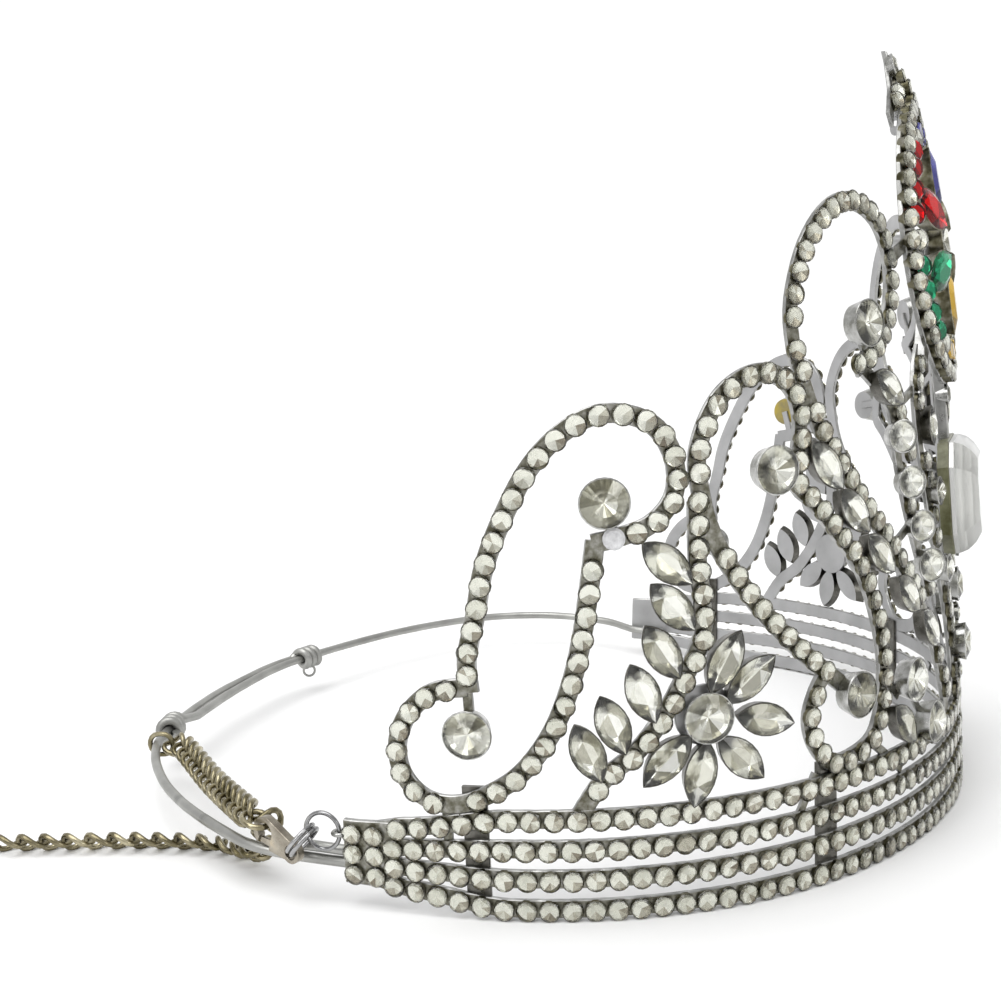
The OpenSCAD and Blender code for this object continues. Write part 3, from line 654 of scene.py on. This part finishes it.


# The tones give each foil facet of a round stone its own painted reflection
def round_stone(stones, cups, seat, d, cup, tilt=2.0, tones=(0, 1), back=1):
    take(seat, [(0, 0, d / 2)])
    bezel(cups, seat, round_outline(d, 24), -0.5, cup + SEAT + 0.1, back=back)
    gem(stones, seat.tilted(tilt), round_outline(d, 24), cup + SEAT, d * 0.14, d * 0.2, table=0.5,
        lively=tones)


def marquise_stone(stones, cups, seat, length, width, cup):
    spots = ((-0.34, 0.28), (-0.17, 0.45), (0, 0.5), (0.17, 0.45), (0.34, 0.28))
    take(seat, [(x * length, 0, r * width) for x, r in spots])
    bezel(cups, seat, marquise_outline(length, width, 24), -0.5, cup + SEAT + 0.05, taper=0.86)
    gem(stones, seat, marquise_outline(length, width, 20), cup + SEAT, width * 0.13, width * 0.14,
        table=0.55, ridge=length * 0.2, spread=35)


MARQUISES = (("flower_stones", FLOWER_PETALS, FLOWER_PETAL), ("leaf_stones", LEAVES, MARQUISE),
             ("branch_stones", BRANCHES, MARQUISE))
for side, mirrored in (("right", False), ("left", True)):
    chaton_cups, marquise_cups = Shape(), Shape()
    groups = {name: Shape() for name in ("flower_stones", "leaf_stones", "branch_stones", "scroll_chatons",
                                         "drop_stones", "flank_stones")}
    for t, up in CHATONS:
        round_stone(groups["scroll_chatons"], chaton_cups, Seat(t, up, mirrored=mirrored), CHATON_D, DEEP_CUP,
                    back=2 if mirrored and (t, up) == YELLOW_BACK else 1)
    seat = Seat(*FLOWER_AT, mirrored=mirrored)
    round_stone(groups["flower_stones"], chaton_cups, seat, FLOWER_D, FLOWER_CUP)
    for name, places, size in MARQUISES:
        for t, up, turn in places:
            seat = Seat(t, up, turn, mirrored=mirrored)
            marquise_stone(groups[name], marquise_cups, seat, *size, SMALL_CUP)
    for t, up, d in DROPS:
        seat = Seat(t, up, out=DROP_RISE, mirrored=mirrored).swung(DROP_SWING if mirrored else -DROP_SWING)
        # Lighter painted reflections in the falling line's foil
        round_stone(groups["drop_stones"], chaton_cups, seat, d * DROP_SHARE, SMALL_CUP, tones=(0.55, 1))
    for t, up, length, width, turn in FLANKS:
        seat = Seat(t, up, turn, mirrored=mirrored)
        if length > width:
            marquise_stone(groups["flank_stones"], marquise_cups, seat, length, width, SMALL_CUP)
        else:
            round_stone(groups["flank_stones"], chaton_cups, seat, length, SMALL_CUP)
    for name, shape in groups.items():
        cut_stones(f"{name}_{side}", shape)
    dressed(f"chaton_cups_{side}", chaton_cups, [bright_rim, back_metal, yellow_back])
    dressed(f"marquise_cups_{side}", marquise_cups, [dark_metal, back_metal])


# Stones of the middle
def octagon_stone():
    """Large stone with cut corners, domed in steps, with foil on the lowest steps and its underside."""
    shape, seat = Shape(), Seat(0, OCTAGON_UP)
    w, h = OCTAGON
    shape.loft([seat.put([(x, y, z) for x, y in octagon_outline(w - inset, h - inset, OCTAGON_CUT * cut)])
                for inset, z, cut in OCTAGON_STEPS])
    faces = len(shape.faces)
    shape.paints = [1 if i < 8 * FOIL_STEPS or i == faces - 2 else 0 for i in range(faces)]
    # Random foil tone for each facet, painted reflections
    shape.tones = [rng.uniform(0.65, 1.0) for _ in range(faces)]
    dressed("octagon_stone_cut", shape, [clear_glass, octagon_foil], ["octagon_stone"],
            smooth=False)
    cups = Shape()
    bezel(cups, seat, octagon_outline(w, h, OCTAGON_CUT), -0.5, 1.5, wall_t=0.3, taper=0.97)
    dressed("octagon_cup", cups, [green_glue, back_metal])
    take(seat, [(x, y, 7.5) for x in (-5, 0, 5) for y in (-1.5, 1.5)])


def petal_seat(turn, reach):
    """Seat of a petal stone. Those at the sides are turned outwards a little."""
    angle = math.radians(turn)
    seat = Seat(-reach * math.cos(angle), MEDAL_UP + reach * math.sin(angle), turn, MEDAL_RISE)
    seat.axes = spin(PETAL_SWING * math.cos(angle)) @ seat.axes
    return seat


def rosette():
    cups, centre = Shape(), Shape()
    round_stone(centre, cups, Seat(0, MEDAL_UP, 0, MEDAL_RISE), CHATON_D, ROSETTE_CUP)
    cut_stones("rosette_centre", centre)
    for name, turn in PETALS:
        stone = Shape()
        marquise_stone(stone, cups, petal_seat(turn, PETAL_FROM + PETAL[0] / 2), *PETAL, ROSETTE_CUP)
        cut_stones("rosette_petal_" + name, stone, name.split("_")[0])
    dressed("rosette_cups", cups, [cup_metal, back_metal])


def column():
    stones, cups, crest = Shape(), Shape(), Shape()
    for up, d, cup in COLUMN:
        round_stone(stones, cups, Seat(0, up), d, cup)
    cut_stones("column_stones", stones)
    marquise_stone(crest, cups, Seat(0, CREST_UP), *CREST_STONE, CREST_CUP)
    cut_stones("crest_stone", crest)
    dressed("column_cups", cups, [bright_rim, back_metal])


octagon_stone()
rosette()
column()


# Small round stones along the lines
small = {"stones": Shape(), "cups": Shape(), "frosted": Shape()}
tinted = {name: Shape() for name in COLOURS}


def glue_bed(shape, seat, d, girdle, n=14):
    """Bed of glue under a small stone, a little narrower than the stone and uneven at its foot."""
    phase = rng.uniform(0, 360)
    turns = [2 * math.pi * k / n for k in range(n)]
    rings = []
    levels = ((0.49, -0.1), (0.455, 0.4 * girdle), (0.465, girdle - 0.08), (0.4, girdle - 0.3), (0.1, 0.0))
    for reach, z in levels:
        rings.append(seat.put([(d * reach * f * math.cos(a), d * reach * f * math.sin(a), z)
                               for a, f in ((a, 1 + 0.04 * math.sin(2 * a + phase)) for a in turns)]))
    shape.loft(rings)


def small_stone(t, up, out=0.0, d=SMALL_D, colour=None, mirrored=False, force=False, bed=SMALL_GIRDLE,
                swing=0.0):
    """One small stone on its bed of glue, unless its place is taken."""
    seat = Seat(t, up, 0, out, mirrored).swung(swing)
    if not (force or free(seat.at, d / 2)):
        return
    take(seat, [(0, 0, d / 2)])
    glue_bed(small["cups"], seat, d, bed)
    plain = small["frosted" if (t, up) == FROSTED_AT else "stones"]
    flat_back(tinted[colour] if colour else plain, seat.tilted(4.0), d, bed)


def row_up(row, t):
    """Height of a row of the band: the rows draw together towards the end plates."""
    share = 1.0
    for start, length, drop in ((112, 19, 0.3), (129, 7, 0.16)):
        s = min(max((abs(t) - start) / length, 0), 1)
        share -= drop * s * s * (3 - 2 * s)
    return ROW_MIDDLE + (ROWS[row] - ROW_MIDDLE) * share


def stones_along(points, mirrored, start=0.0, pitch=PITCH, bed=SMALL_GIRDLE, swing=0.0):
    path = smooth_path(points, 12)
    total = lengths(path)[-1]
    count = int((total - start) / pitch)
    for i in range(count + 1):
        t, up = along(path, start + i * pitch)
        small_stone(t, up, mirrored=mirrored, bed=bed, swing=swing if mirrored else -swing)


def medal_stones():
    for radius, d, count in MEDAL_RINGS:
        for k in range(count):
            turn = 360 * k / count
            near = [name for name, at in PETALS if name in COLOURS and radius < TINTED_R
                    and abs((turn - at + 180) % 360 - 180) < TINTED_REACH]
            angle = math.radians(turn)
            small_stone(-radius * math.cos(angle), MEDAL_UP + radius * math.sin(angle), MEDAL_RISE, d,
                        near[0] if near else None, bed=MEDAL_BED, swing=MEDAL_SWING * math.cos(angle))


for mirrored in (False, True):
    for t in PLATE_COLUMNS:
        for up in PLATE_ROWS:
            small_stone(t, up, mirrored=mirrored, force=True)
for row, first in enumerate(FIRST_STONES):
    for k in range(STONES_IN_ROW):
        small_stone(first - PITCH * k, row_up(row, first - PITCH * k))
medal_stones()
for mirrored in (False, True):
    for t, up in LONE_STONES:
        small_stone(t, up, mirrored=mirrored, force=True)
    for points, start in STONE_LINES:
        at_crest = points is CREST_EDGE
        stones_along(points, mirrored, start, bed=CREST_BED if at_crest else SMALL_GIRDLE,
                     swing=CREST_SWING if at_crest else 0)
for up in MIDDLE_STONES:
    small_stone(0, up)
for up, out in CREST_STONES:
    small_stone(0, up, out, force=True, bed=CREST_BED)

dressed("small_stones", small["stones"], [clear_glass, small_foil], smooth=False)
dressed("small_stone_frosted", small["frosted"], [frosted(), clear_foil], smooth=False)
for name, shape in tinted.items():
    dressed(f"small_stones_{name}", shape, list(coloured[name]), smooth=False)
dressed("small_cups", small["cups"], [cup_metal])


# Sheet metal: paints of its edges, front and back
SHEET = [edge_metal, front_metal, back_metal]


def section(width, back, front, edge=0.14):
    """Cross section of a strip: (across, out), with its edges broken."""
    w = width / 2
    return [(-w + edge, back), (w - edge, back), (w, back + edge), (w, front - edge),
            (w - edge, front), (-w + edge, front), (-w, front - edge), (-w, back + edge)]


def ribbon(shape, path, width=SHEET_W, back=-METAL_T, front=0.0, paint=0, closed=False, wave=0.05):
    """Strip of sheet metal along a path of (t, up), a little uneven like cut and bent sheet."""
    phase = rng.uniform(0, 6.28)
    marks = lengths(path)
    rings = []
    sides = [2, 0, 0, 0, 1, 0, 0, 0] if paint == 0 else None
    for i, (p, d) in enumerate(zip(path, directions(path, closed))):
        ripple = wave * math.sin(marks[i] * 2 * math.pi / PITCH + phase) if not closed else 0
        side = np.array([-d[1], d[0]])
        rings.append([wall(*(p + side * (x + math.copysign(ripple, x))), out)
                      for x, out in section(width, back, front)])
    shape.loft(rings, paint, closed, sides)


def straight(a, b, c, d, step=1.2):
    return resampled([np.array([a, b], float), np.array([c, d], float)], step)


def mirror_of(shape):
    found, flip = Shape(), np.array([-1, 1, 1])
    flipped = [tuple(reversed(f)) for f in shape.faces]
    found.add([p * flip for p in shape.points], flipped, list(shape.paints), list(shape.tones))
    return found


def band_metal():
    strips = Shape()
    end = BAND_LEN - 0.3
    for row in range(4):
        path = [np.array([t, row_up(row, t) + SHEET_LIFT]) for t in np.linspace(-end, end, 240)]
        ribbon(strips, path)
    dressed("band_strips", strips, SHEET, ["crown_frame"])


def side_metal():
    lines, links, struts, plate = Shape(), Shape(), Shape(), Shape()
    for i, (points, width) in enumerate(zip(RIBBONS, RIBBON_WIDTHS)):
        lifted = [p + np.array([SHEET_LIFT, SHEET_LIFT]) / 2 for p in resampled(smooth_path(points, 8), 0.9)]
        ribbon(lines, lifted, width, front=-0.02 * i)
    for spot in MEDAL_POSTS:
        ribbon(links, straight(*spot), 2.4, front=MEDAL_RISE - 0.4)
    for spot in SHORT_LINKS:
        ribbon(links, straight(*spot), 1.6, front=-0.3)
    for a, b, low, high in STRUTS:
        ribbon(struts, straight((a + b) / 2, low, (a + b) / 2, high), b - a, -1.5, -METAL_T + 0.3, wave=0)
    path = [np.array([t, 9.75 + 0.1 * math.sin((t - 129) * 0.5)]) for t in np.linspace(130.5, BAND_LEN, 14)]
    ribbon(plate, path, 11, -METAL_T - 0.15, 0.1, wave=0)
    for name, shape, paints in (("scroll_ribbons", lines, SHEET), ("short_links", links, SHEET),
                                ("strut_plates", struts, [dark_metal] * 3), ("end_plate", plate, SHEET),
                                ("flower_disc", flower_disc(), [back_metal])):
        dressed(name + "_right", shape, paints)
        dressed(name + "_left", mirror_of(shape), paints)


def flower_disc(radius=4.9, n=28):
    """Plate behind the flower."""
    seat, made = Seat(*FLOWER_AT), Shape()
    levels = ((radius - 0.1, -METAL_T), (radius, -METAL_T + 0.1), (radius, -0.3), (radius - 0.1, -0.2))
    made.loft([seat.put([(r * c, r * s, z) for c, s in circle(n)]) for r, z in levels])
    return made


def circle_path(radius, n):
    return [np.array([-radius * c, MEDAL_UP + radius * s]) for c, s in circle(n)]


def front_metal():
    medal = Shape()
    ribbon(medal, circle_path(sum(RING_R) / 2, 96), RING_R[1] - RING_R[0], MEDAL_RISE - METAL_T, MEDAL_RISE,
           closed=True)
    reach = RING_R[0] + 0.6
    for i, turn in enumerate((30, 90, 150)):
        c, s = cos_sin(turn)
        ribbon(medal, straight(reach * c, MEDAL_UP - reach * s, -reach * c, MEDAL_UP + reach * s), 3,
               MEDAL_RISE - METAL_T + 0.02 * i, MEDAL_RISE - 0.1 - 0.02 * i)
    dressed("medallion_plate", medal, SHEET)
    post = Shape()
    for low, high, width, back, front in POSTS:
        ribbon(post, straight(0, low, 0, high), width, back, front)
    dressed("centre_post", post, SHEET)


band_metal()
side_metal()
front_metal()


# Lug behind the medallion: its outline as (behind the wall at LUG_LEVEL, up), its holes also with a radius
LUG_LEVEL = 126
LUG_OUTLINE = [
    (-1.2, 125.6), (1.7, 125.6), (2.1, 125.8), (2.35, 126.4), (2.85, 134), (2.6, 134.9), (2.2, 135.3),
    (1.9, 135.3), (1.2, 133), (-0.2, 131)]
LUG_HOLES = [(1.4, 127.8, 0.55), (0.5, 129.9, 0.3)]
# Eye of the end plate: how far up, its radius and half the thickness of its wire
EYE = (12.6, 1.15, 0.375)


def torus(shape, centre, axes, major, minor, n=64, sides=16, gap=0.0):
    """Round ring of wire in the plane of the first two axes, with a cut of gap degrees."""
    rings = []
    span = 360 - gap
    count = n + (1 if gap else 0)
    for i in range(count):
        c, s = cos_sin(gap / 2 + span * i / n)
        arm = axes[:, 0] * c + axes[:, 1] * s
        rings.append([centre + arm * (major + minor * x) + axes[:, 2] * minor * y for x, y in circle(sides)])
    shape.loft([list(reversed(r)) for r in rings], closed=not gap)


def back_lug():
    """Plate with two holes that stands up behind the medallion, and the eye of the right end plate."""
    lug = Shape()
    level = wall(0, LUG_LEVEL)[1]
    loops = [LUG_OUTLINE]
    for behind, up, radius in LUG_HOLES:
        loops.append([(behind + radius * math.cos(math.pi * k / 10), up - radius * math.sin(math.pi * k / 10))
                      for k in range(20)])
    flat = [p for loop in loops for p in loop]
    count = len(flat)
    points = [(x, level + p[0], p[1]) for x in (METAL_T / 2, -METAL_T / 2) for p in flat]
    faces = []
    for a, b, c in tessellate_polygon([[Vector((*p, 0)) for p in loop] for loop in loops]):
        if np.cross(np.subtract(flat[b], flat[a]), np.subtract(flat[c], flat[a])) < 0:
            b, c = c, b
        faces += [(a, b, c), (count + a, count + c, count + b)]
    first = 0
    for loop in loops:
        n = len(loop)
        faces += [(first + k, count + first + k, count + first + (k + 1) % n, first + (k + 1) % n)
                  for k in range(n)]
        first += n
    lug.add(points, faces, 2)
    dressed("back_lug", lug, SHEET)
    eye = Shape()
    up, radius, thick = EYE
    torus(eye, wall(BAND_LEN, up, -METAL_T / 2) + np.array([0, 0.85, 0]), np.eye(3), radius, thick, 28, 12)
    dressed("plate_eye", eye, [bright_rim])


back_lug()


# Rear wires, chain and rings
WIRE_D = 1.7
DRAWN_WIRE_D = 1.86
# Loop of the thin wire's end: its middle, radius, half its thickness and its cut in degrees
WIRE_END = ((28, 77, 5.4), 1.4, 0.3, 50)
WIRE_RIGHT = [
    (-84.9, 17.8, 9.4), (-84.4, 13, 9.1), (-83.8, 7, 8.7), (-83.6, 1, 8.55), (-83.6, -0.7, 7.6),
    (-83.6, 1, 6.65), (-83.8, 7, 6.7), (-84.4, 13.6, 7), (-85, 20, 7.5), (-84.4, 26.5, 8),
    (-80.8, 34, 8.3), (-75.6, 42.3, 8.3), (-70, 50, 8.3), (-62.5, 58.5, 8.4), (-52.5, 67.3, 8.5),
    (-43, 73.4, 8.6), (-35, 76.3, 8.7), (-24, 79, 8.8), (-8, 81.4, 8.9), (6, 81.7, 9), (13, 81.7, 9),
    (19, 81.15, 9), (24.6, 80.05, 9)]
WIRE_LEFT = [
    (83.1, -2, 6.8), (83.4, 6, 7), (88.2, 16, 7.8), (89.2, 31, 8.4), (84, 46, 8.6), (73, 57, 8.8),
    (58.5, 66.2, 8.9), (41.5, 73, 9), (24.5, 78, 9), (14, 79.4, 9), (4, 79.2, 9), (-8, 78.4, 8.9),
    (-24, 76.2, 8.8)]
WRAP_PITCH = 1.85
WRAP_TURNS = 3
WRAP_GAP = 0.3
SPLICE_RIGHT = ((-30.5, 77.6, 8.75), (-40, 74.6, 8.7))
SPLICE_LEFT = ((25.2, 77.8, 9), (32.6, 75.84, 9))
# Where solder has darkened the wire: (place, reach)
HEAT_MARKS = [((-70.5, 49.4, 8.3), 1.9), ((-77.4, 39.3, 8.3), 1.7)]
LINK_D = 0.95
DRAWN_LINK_D = 1.06
LINK_W = 5.3
LINK_PITCH = 4.25
LINK_GAP = 0.25
LINK_TWIST = 45
LINK_RC = (LINK_W - LINK_D) / 2
LINK_LC = LINK_PITCH + LINK_D + LINK_GAP
RUN_LINKS = 15
TAIL_LINKS = 16
RUN_SAG = 1.0
RUN_ROLL = 135
TAIL_ROLL = 10
TAIL_PATH = [
    (-80.2, 25.2, 9), (-79.6, 27.2, 5.2), (-77, 30.4, 3), (-74.4, 34.4, 2.1), (-73, 39, 2),
    (-73, 44, 2), (-74.2, 50, 2), (-76, 57, 2), (-78.4, 64, 2), (-81.2, 72, 2), (-84, 80, 2)]
KNOT_AT = np.array([-43.5, 73.2, 8.6])
KNOT_DIR = unit(np.array([0.05, -0.95, 0.1]))
SEAT_GAP = 0.12
CLASP_EYE = np.array([-88.1, 15.76, 9.3])
HOOK_LINK_IN = (6.76, 0.7)
# Ways of the clasp and of the hook's link: (turn, rise) in degrees
CLASP_WAY = (73, 20)
HOOK_WAY = (66, 12)
# Jump rings: half the thickness of their wire, and for each its middle, radius and cut in degrees
RING_WIRE_R = 0.375
LARGE_RING = ((-86.1, 11.14, 12.6), 3.1, 1.6)
SMALL_RING = ((-88.1, 13.9, 11.52), 2.9, 1.8)
RING_TILT = -50
RING_SHIFTS = {"jump_ring_a": 0.45, "jump_ring_b": -0.45}


def compass(turn, rise):
    (c, s), (level, up) = cos_sin(turn), cos_sin(rise)
    return np.array([c * level, s * level, up])


def side_of(d, roll):
    s = unit(np.cross([0, 0, 1], d))
    u = np.cross(d, s)
    across, above = cos_sin(roll)
    return s * across + u * above


def carried(turns, first):
    """Directions across a path that turn with it and don't jump."""
    found = [first]
    for d in turns[1:]:
        v = found[-1] - np.dot(found[-1], d) * d
        found.append(unit(v))
    return found


def tube(shape, path, hints, d, sides=14, closed=False, swell=0.0):
    rings = []
    marks = lengths(path)
    for i, (p, t, hint) in enumerate(zip(path, directions(path, closed), hints)):
        s = unit(np.cross(hint, t))
        u = np.cross(t, s)
        r = d / 2 * (1 + swell * math.sin(marks[i] * 0.55) * math.sin(marks[i] * 0.21 + 1))
        rings.append([p + r * (s * x - u * y) for x, y in circle(sides)])
    shape.loft([list(reversed(r)) for r in rings], closed=closed)


def wraps(start, end):
    start, end = np.array(start), np.array(end)
    way = unit(end - start)
    return [start + way * WRAP_PITCH * a / 360 + (WIRE_D + WRAP_GAP) * side_of(way, a)
            for a in range(30, 360 * WRAP_TURNS + 1, 15)]


def wire(name, points, splice):
    shape = Shape()
    path = smooth_path(points, 8) + wraps(*splice)
    path = resampled(path, 0.7)
    turns = directions(path)
    tube(shape, path, carried(turns, side_of(turns[0], 90)), DRAWN_WIRE_D, swell=0.02)
    for i, face in enumerate(shape.faces):
        middle = sum(shape.points[k] for k in face) / len(face)
        shape.tones[i] = min(np.linalg.norm(middle - np.array(at)) / reach / 2 for at, reach in HEAT_MARKS)
    dressed(name + "_drawn", shape, [wire_metal], [name])


def wire_end():
    """Thin end of binding wire that hangs as an open loop from the splice on the left."""
    shape = Shape()
    axes = np.array([[0, 0.5, 0.87], [0, -0.87, 0.5], [1, 0, 0]])
    at, radius, thick, gap = WIRE_END
    torus(shape, np.array(at), axes, radius, thick, 40, 10, gap)
    dressed("wire_end_loop", shape, [wire_metal])


def link(shape, mid, d, side, twist=LINK_TWIST, n=9, sides=10):
    """One link: two half circles whose ends are turned against each other by the twist."""
    points = []
    for end in (1, -1):
        for k in range(n):
            a = math.radians(-90 + 180 * k / (n - 1))
            x = end * (LINK_LC / 2 - LINK_RC + LINK_RC * math.cos(a))
            y = end * LINK_RC * math.sin(a)
            b = math.radians(twist * 2 * x / LINK_LC)
            points.append(mid + d * x + y * (side * math.cos(b) + np.cross(d, side) * math.sin(b)))
    tube(shape, points, [np.cross(d, side)] * len(points), DRAWN_LINK_D, sides, closed=True)


def chain(shape, path, count, roll):
    total = lengths(path)[-1]
    ends = [along(path, total * i / count) for i in range(count + 1)]
    turns = [unit(b - a) for a, b in zip(ends, ends[1:])]
    for a, b, d, side in zip(ends, ends[1:], turns, carried(turns, side_of(turns[0], roll))):
        link(shape, (a + b) / 2, d, side)


def chains():
    half_overlap = (LINK_D + LINK_GAP) / 2
    clasp_dir, hook_dir = compass(*CLASP_WAY), compass(*HOOK_WAY)
    hook_mid = (CLASP_EYE + clasp_dir * HOOK_LINK_IN[0] + side_of(clasp_dir, 90) * HOOK_LINK_IN[1]
                + hook_dir * LINK_LC / 2)
    run_from = hook_mid + hook_dir * (LINK_LC / 2 - half_overlap)
    knot_mid = KNOT_AT + KNOT_DIR * (LINK_LC / 2 - (WIRE_D + LINK_D) / 2 - 3 * SEAT_GAP)
    run_to = knot_mid + KNOT_DIR * (LINK_LC / 2 - half_overlap)
    run_bend = run_to + LINK_PITCH * unit(KNOT_DIR + unit(run_from - run_to))
    middle = (run_from + run_bend) / 2 - np.array([0, 0, RUN_SAG])
    run, tail = Shape(), Shape()
    link(run, hook_mid, hook_dir, side_of(hook_dir, 0), 0)
    chain(run, smooth_path([run_from, middle, run_bend, run_to], 4), RUN_LINKS, RUN_ROLL)
    link(run, knot_mid, KNOT_DIR, side_of(KNOT_DIR, 90), 0)
    dressed("chain_run_links", run, [chain_metal], ["chain_run"])
    hook_side = hook_mid - LINK_RC * side_of(hook_dir, 0)
    tail_from = hook_side - unit(np.array(TAIL_PATH[0]) - hook_side) * half_overlap
    chain(tail, smooth_path([tail_from, *TAIL_PATH], 4), TAIL_LINKS, TAIL_ROLL)
    dressed("chain_tail_links", tail, [chain_metal], ["chain_tail"])


def rings():
    large = Shape()
    at, radius, gap = LARGE_RING
    axes = np.array([[0, 0, 1], [1, 0, 0], [0, 1, 0]], float)
    torus(large, np.array(at), axes, radius, RING_WIRE_R, gap=gap)
    dressed("jump_ring_large_wire", large, [ring_metal], ["jump_ring_large"])
    c, s = cos_sin(RING_TILT)
    axes = np.array([[1, 0, 0], [0, c, -s], [0, s, c]])
    at, radius, gap = SMALL_RING
    for name, shift in RING_SHIFTS.items():
        shape = Shape()
        torus(shape, np.array(at) + axes[:, 2] * shift, axes, radius, RING_WIRE_R, gap=gap)
        dressed(name + "_wire", shape, [ring_metal], [name])


def cast_copy(node_name, body, voxel=0.00009, rounds=6):
    """Rounded copy of a CAD node, the way a casting comes from its mould."""
    thing = added(node_name + "_cast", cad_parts[node_name].data.copy())
    remesh = thing.modifiers.new("remesh", "REMESH")
    remesh.mode = "VOXEL"
    remesh.voxel_size = voxel
    soften = thing.modifiers.new("soften", "SMOOTH")
    soften.factor = 0.5
    soften.iterations = rounds
    bpy.context.view_layer.update()
    final = bpy.data.meshes.new_from_object(thing.evaluated_get(bpy.context.evaluated_depsgraph_get()))
    thing.modifiers.clear()
    thing.data = final
    final.materials.clear()
    final.materials.append(clasp_metal)
    for polygon in final.polygons:
        polygon.use_smooth = True
    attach(thing, body)
    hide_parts(node_name)


wire("rear_wire_right", WIRE_RIGHT, SPLICE_LEFT)
wire("rear_wire_left", WIRE_LEFT, SPLICE_RIGHT)
wire_end()
chains()
rings()
cast_copy("clasp_body", "crown")
cast_copy("clasp_lever", "lever", 0.00006, 4)


# Camera of the photograph: its place in millimetres, its turn, pitch and roll in degrees, and its focal
# length in pixels
CAMERA_AT = (-277.19, -96.81, 96.54)
CAMERA_YAW = 21.373
CAMERA_PITCH = 7.973
CAMERA_ROLL = -2.0
FOCAL_PX = 1388.85
IMAGE_W = 1001
SENSOR = 36.0
# In metres: half the floor's width, and the point that the soft boxes face
FLOOR_REACH = 3.0
LIGHT_AIM = (0, 0, 0.06)


def camera():
    yaw, pitch, roll = (math.radians(a) for a in (CAMERA_YAW, CAMERA_PITCH, CAMERA_ROLL))
    level, right, up = (np.array(v) for v in ((math.cos(yaw), math.sin(yaw), 0.0),
                                              (math.sin(yaw), -math.cos(yaw), 0.0), (0.0, 0.0, 1.0)))
    ahead = level * math.cos(pitch) - up * math.sin(pitch)
    raised = up * math.cos(pitch) + level * math.sin(pitch)
    x = right * math.cos(roll) + raised * math.sin(roll)
    y = raised * math.cos(roll) - right * math.sin(roll)
    data = bpy.data.cameras.new("camera")
    data.sensor_width = SENSOR
    data.lens = FOCAL_PX / IMAGE_W * SENSOR
    data.clip_start = 0.01
    made = added("camera", data)
    matrix = Matrix(((x[0], y[0], -ahead[0]), (x[1], y[1], -ahead[1]), (x[2], y[2], -ahead[2]))).to_4x4()
    matrix.translation = [c * MM for c in CAMERA_AT]
    made.matrix_world = matrix
    bpy.context.scene.camera = made


def floor():
    """Wide pale floor under the crown."""
    material, tree, shader = tree_of("pale_floor")
    drive(tree, shader, "Base Color", noise(tree, 3.0), [(0.3, 0.88), (0.7, 0.91)])
    shader.inputs["Roughness"].default_value = 0.6
    mesh = bpy.data.meshes.new("floor")
    r = FLOOR_REACH
    mesh.from_pydata([(-r, -r, 0), (r, -r, 0), (r, r, 0), (-r, r, 0)], [], [(0, 1, 2, 3)])
    mesh.materials.append(material)
    made = added("floor", mesh)


def area_light(name, at, size, power):
    data = bpy.data.lights.new(name, "AREA")
    data.shape = "RECTANGLE"
    data.size, data.size_y = size
    data.energy = power
    made = added(name, data)
    made.location = at
    made.rotation_euler = (Vector(LIGHT_AIM) - made.location).to_track_quat("-Z", "Y").to_euler()


def studio():
    """White all round the far side, dimmer behind the camera, with soft boxes above."""
    world = bpy.data.worlds.new("studio")
    world.use_nodes = True
    tree = world.node_tree
    place = tree.nodes.new("ShaderNodeTexCoord")
    aim = tree.nodes.new("ShaderNodeVectorMath")
    aim.operation = "DOT_PRODUCT"
    aim.inputs[1].default_value = (0.78, 0.30, -0.55)
    tree.links.new(place.outputs["Generated"], aim.inputs[0])
    drive(tree, tree.nodes["Background"], "Color", aim.outputs["Value"], [(0.0, 0.72), (0.45, 1.05)])
    bpy.context.scene.world = world
    sun = bpy.data.lights.new("overhead", "SUN")
    sun.energy = 1.6
    sun.angle = math.radians(50)
    added("overhead", sun).rotation_euler = (math.radians(-8), math.radians(-18), 0)
    area_light("left_softbox", (-1.1, 0.6, 0.8), (0.5, 0.5), 3)
    area_light("front_softbox", (-0.4, -1.3, 0.7), (0.6, 0.5), 3)
    bpy.context.scene.view_settings.view_transform = "Standard"


camera()
floor()
studio()
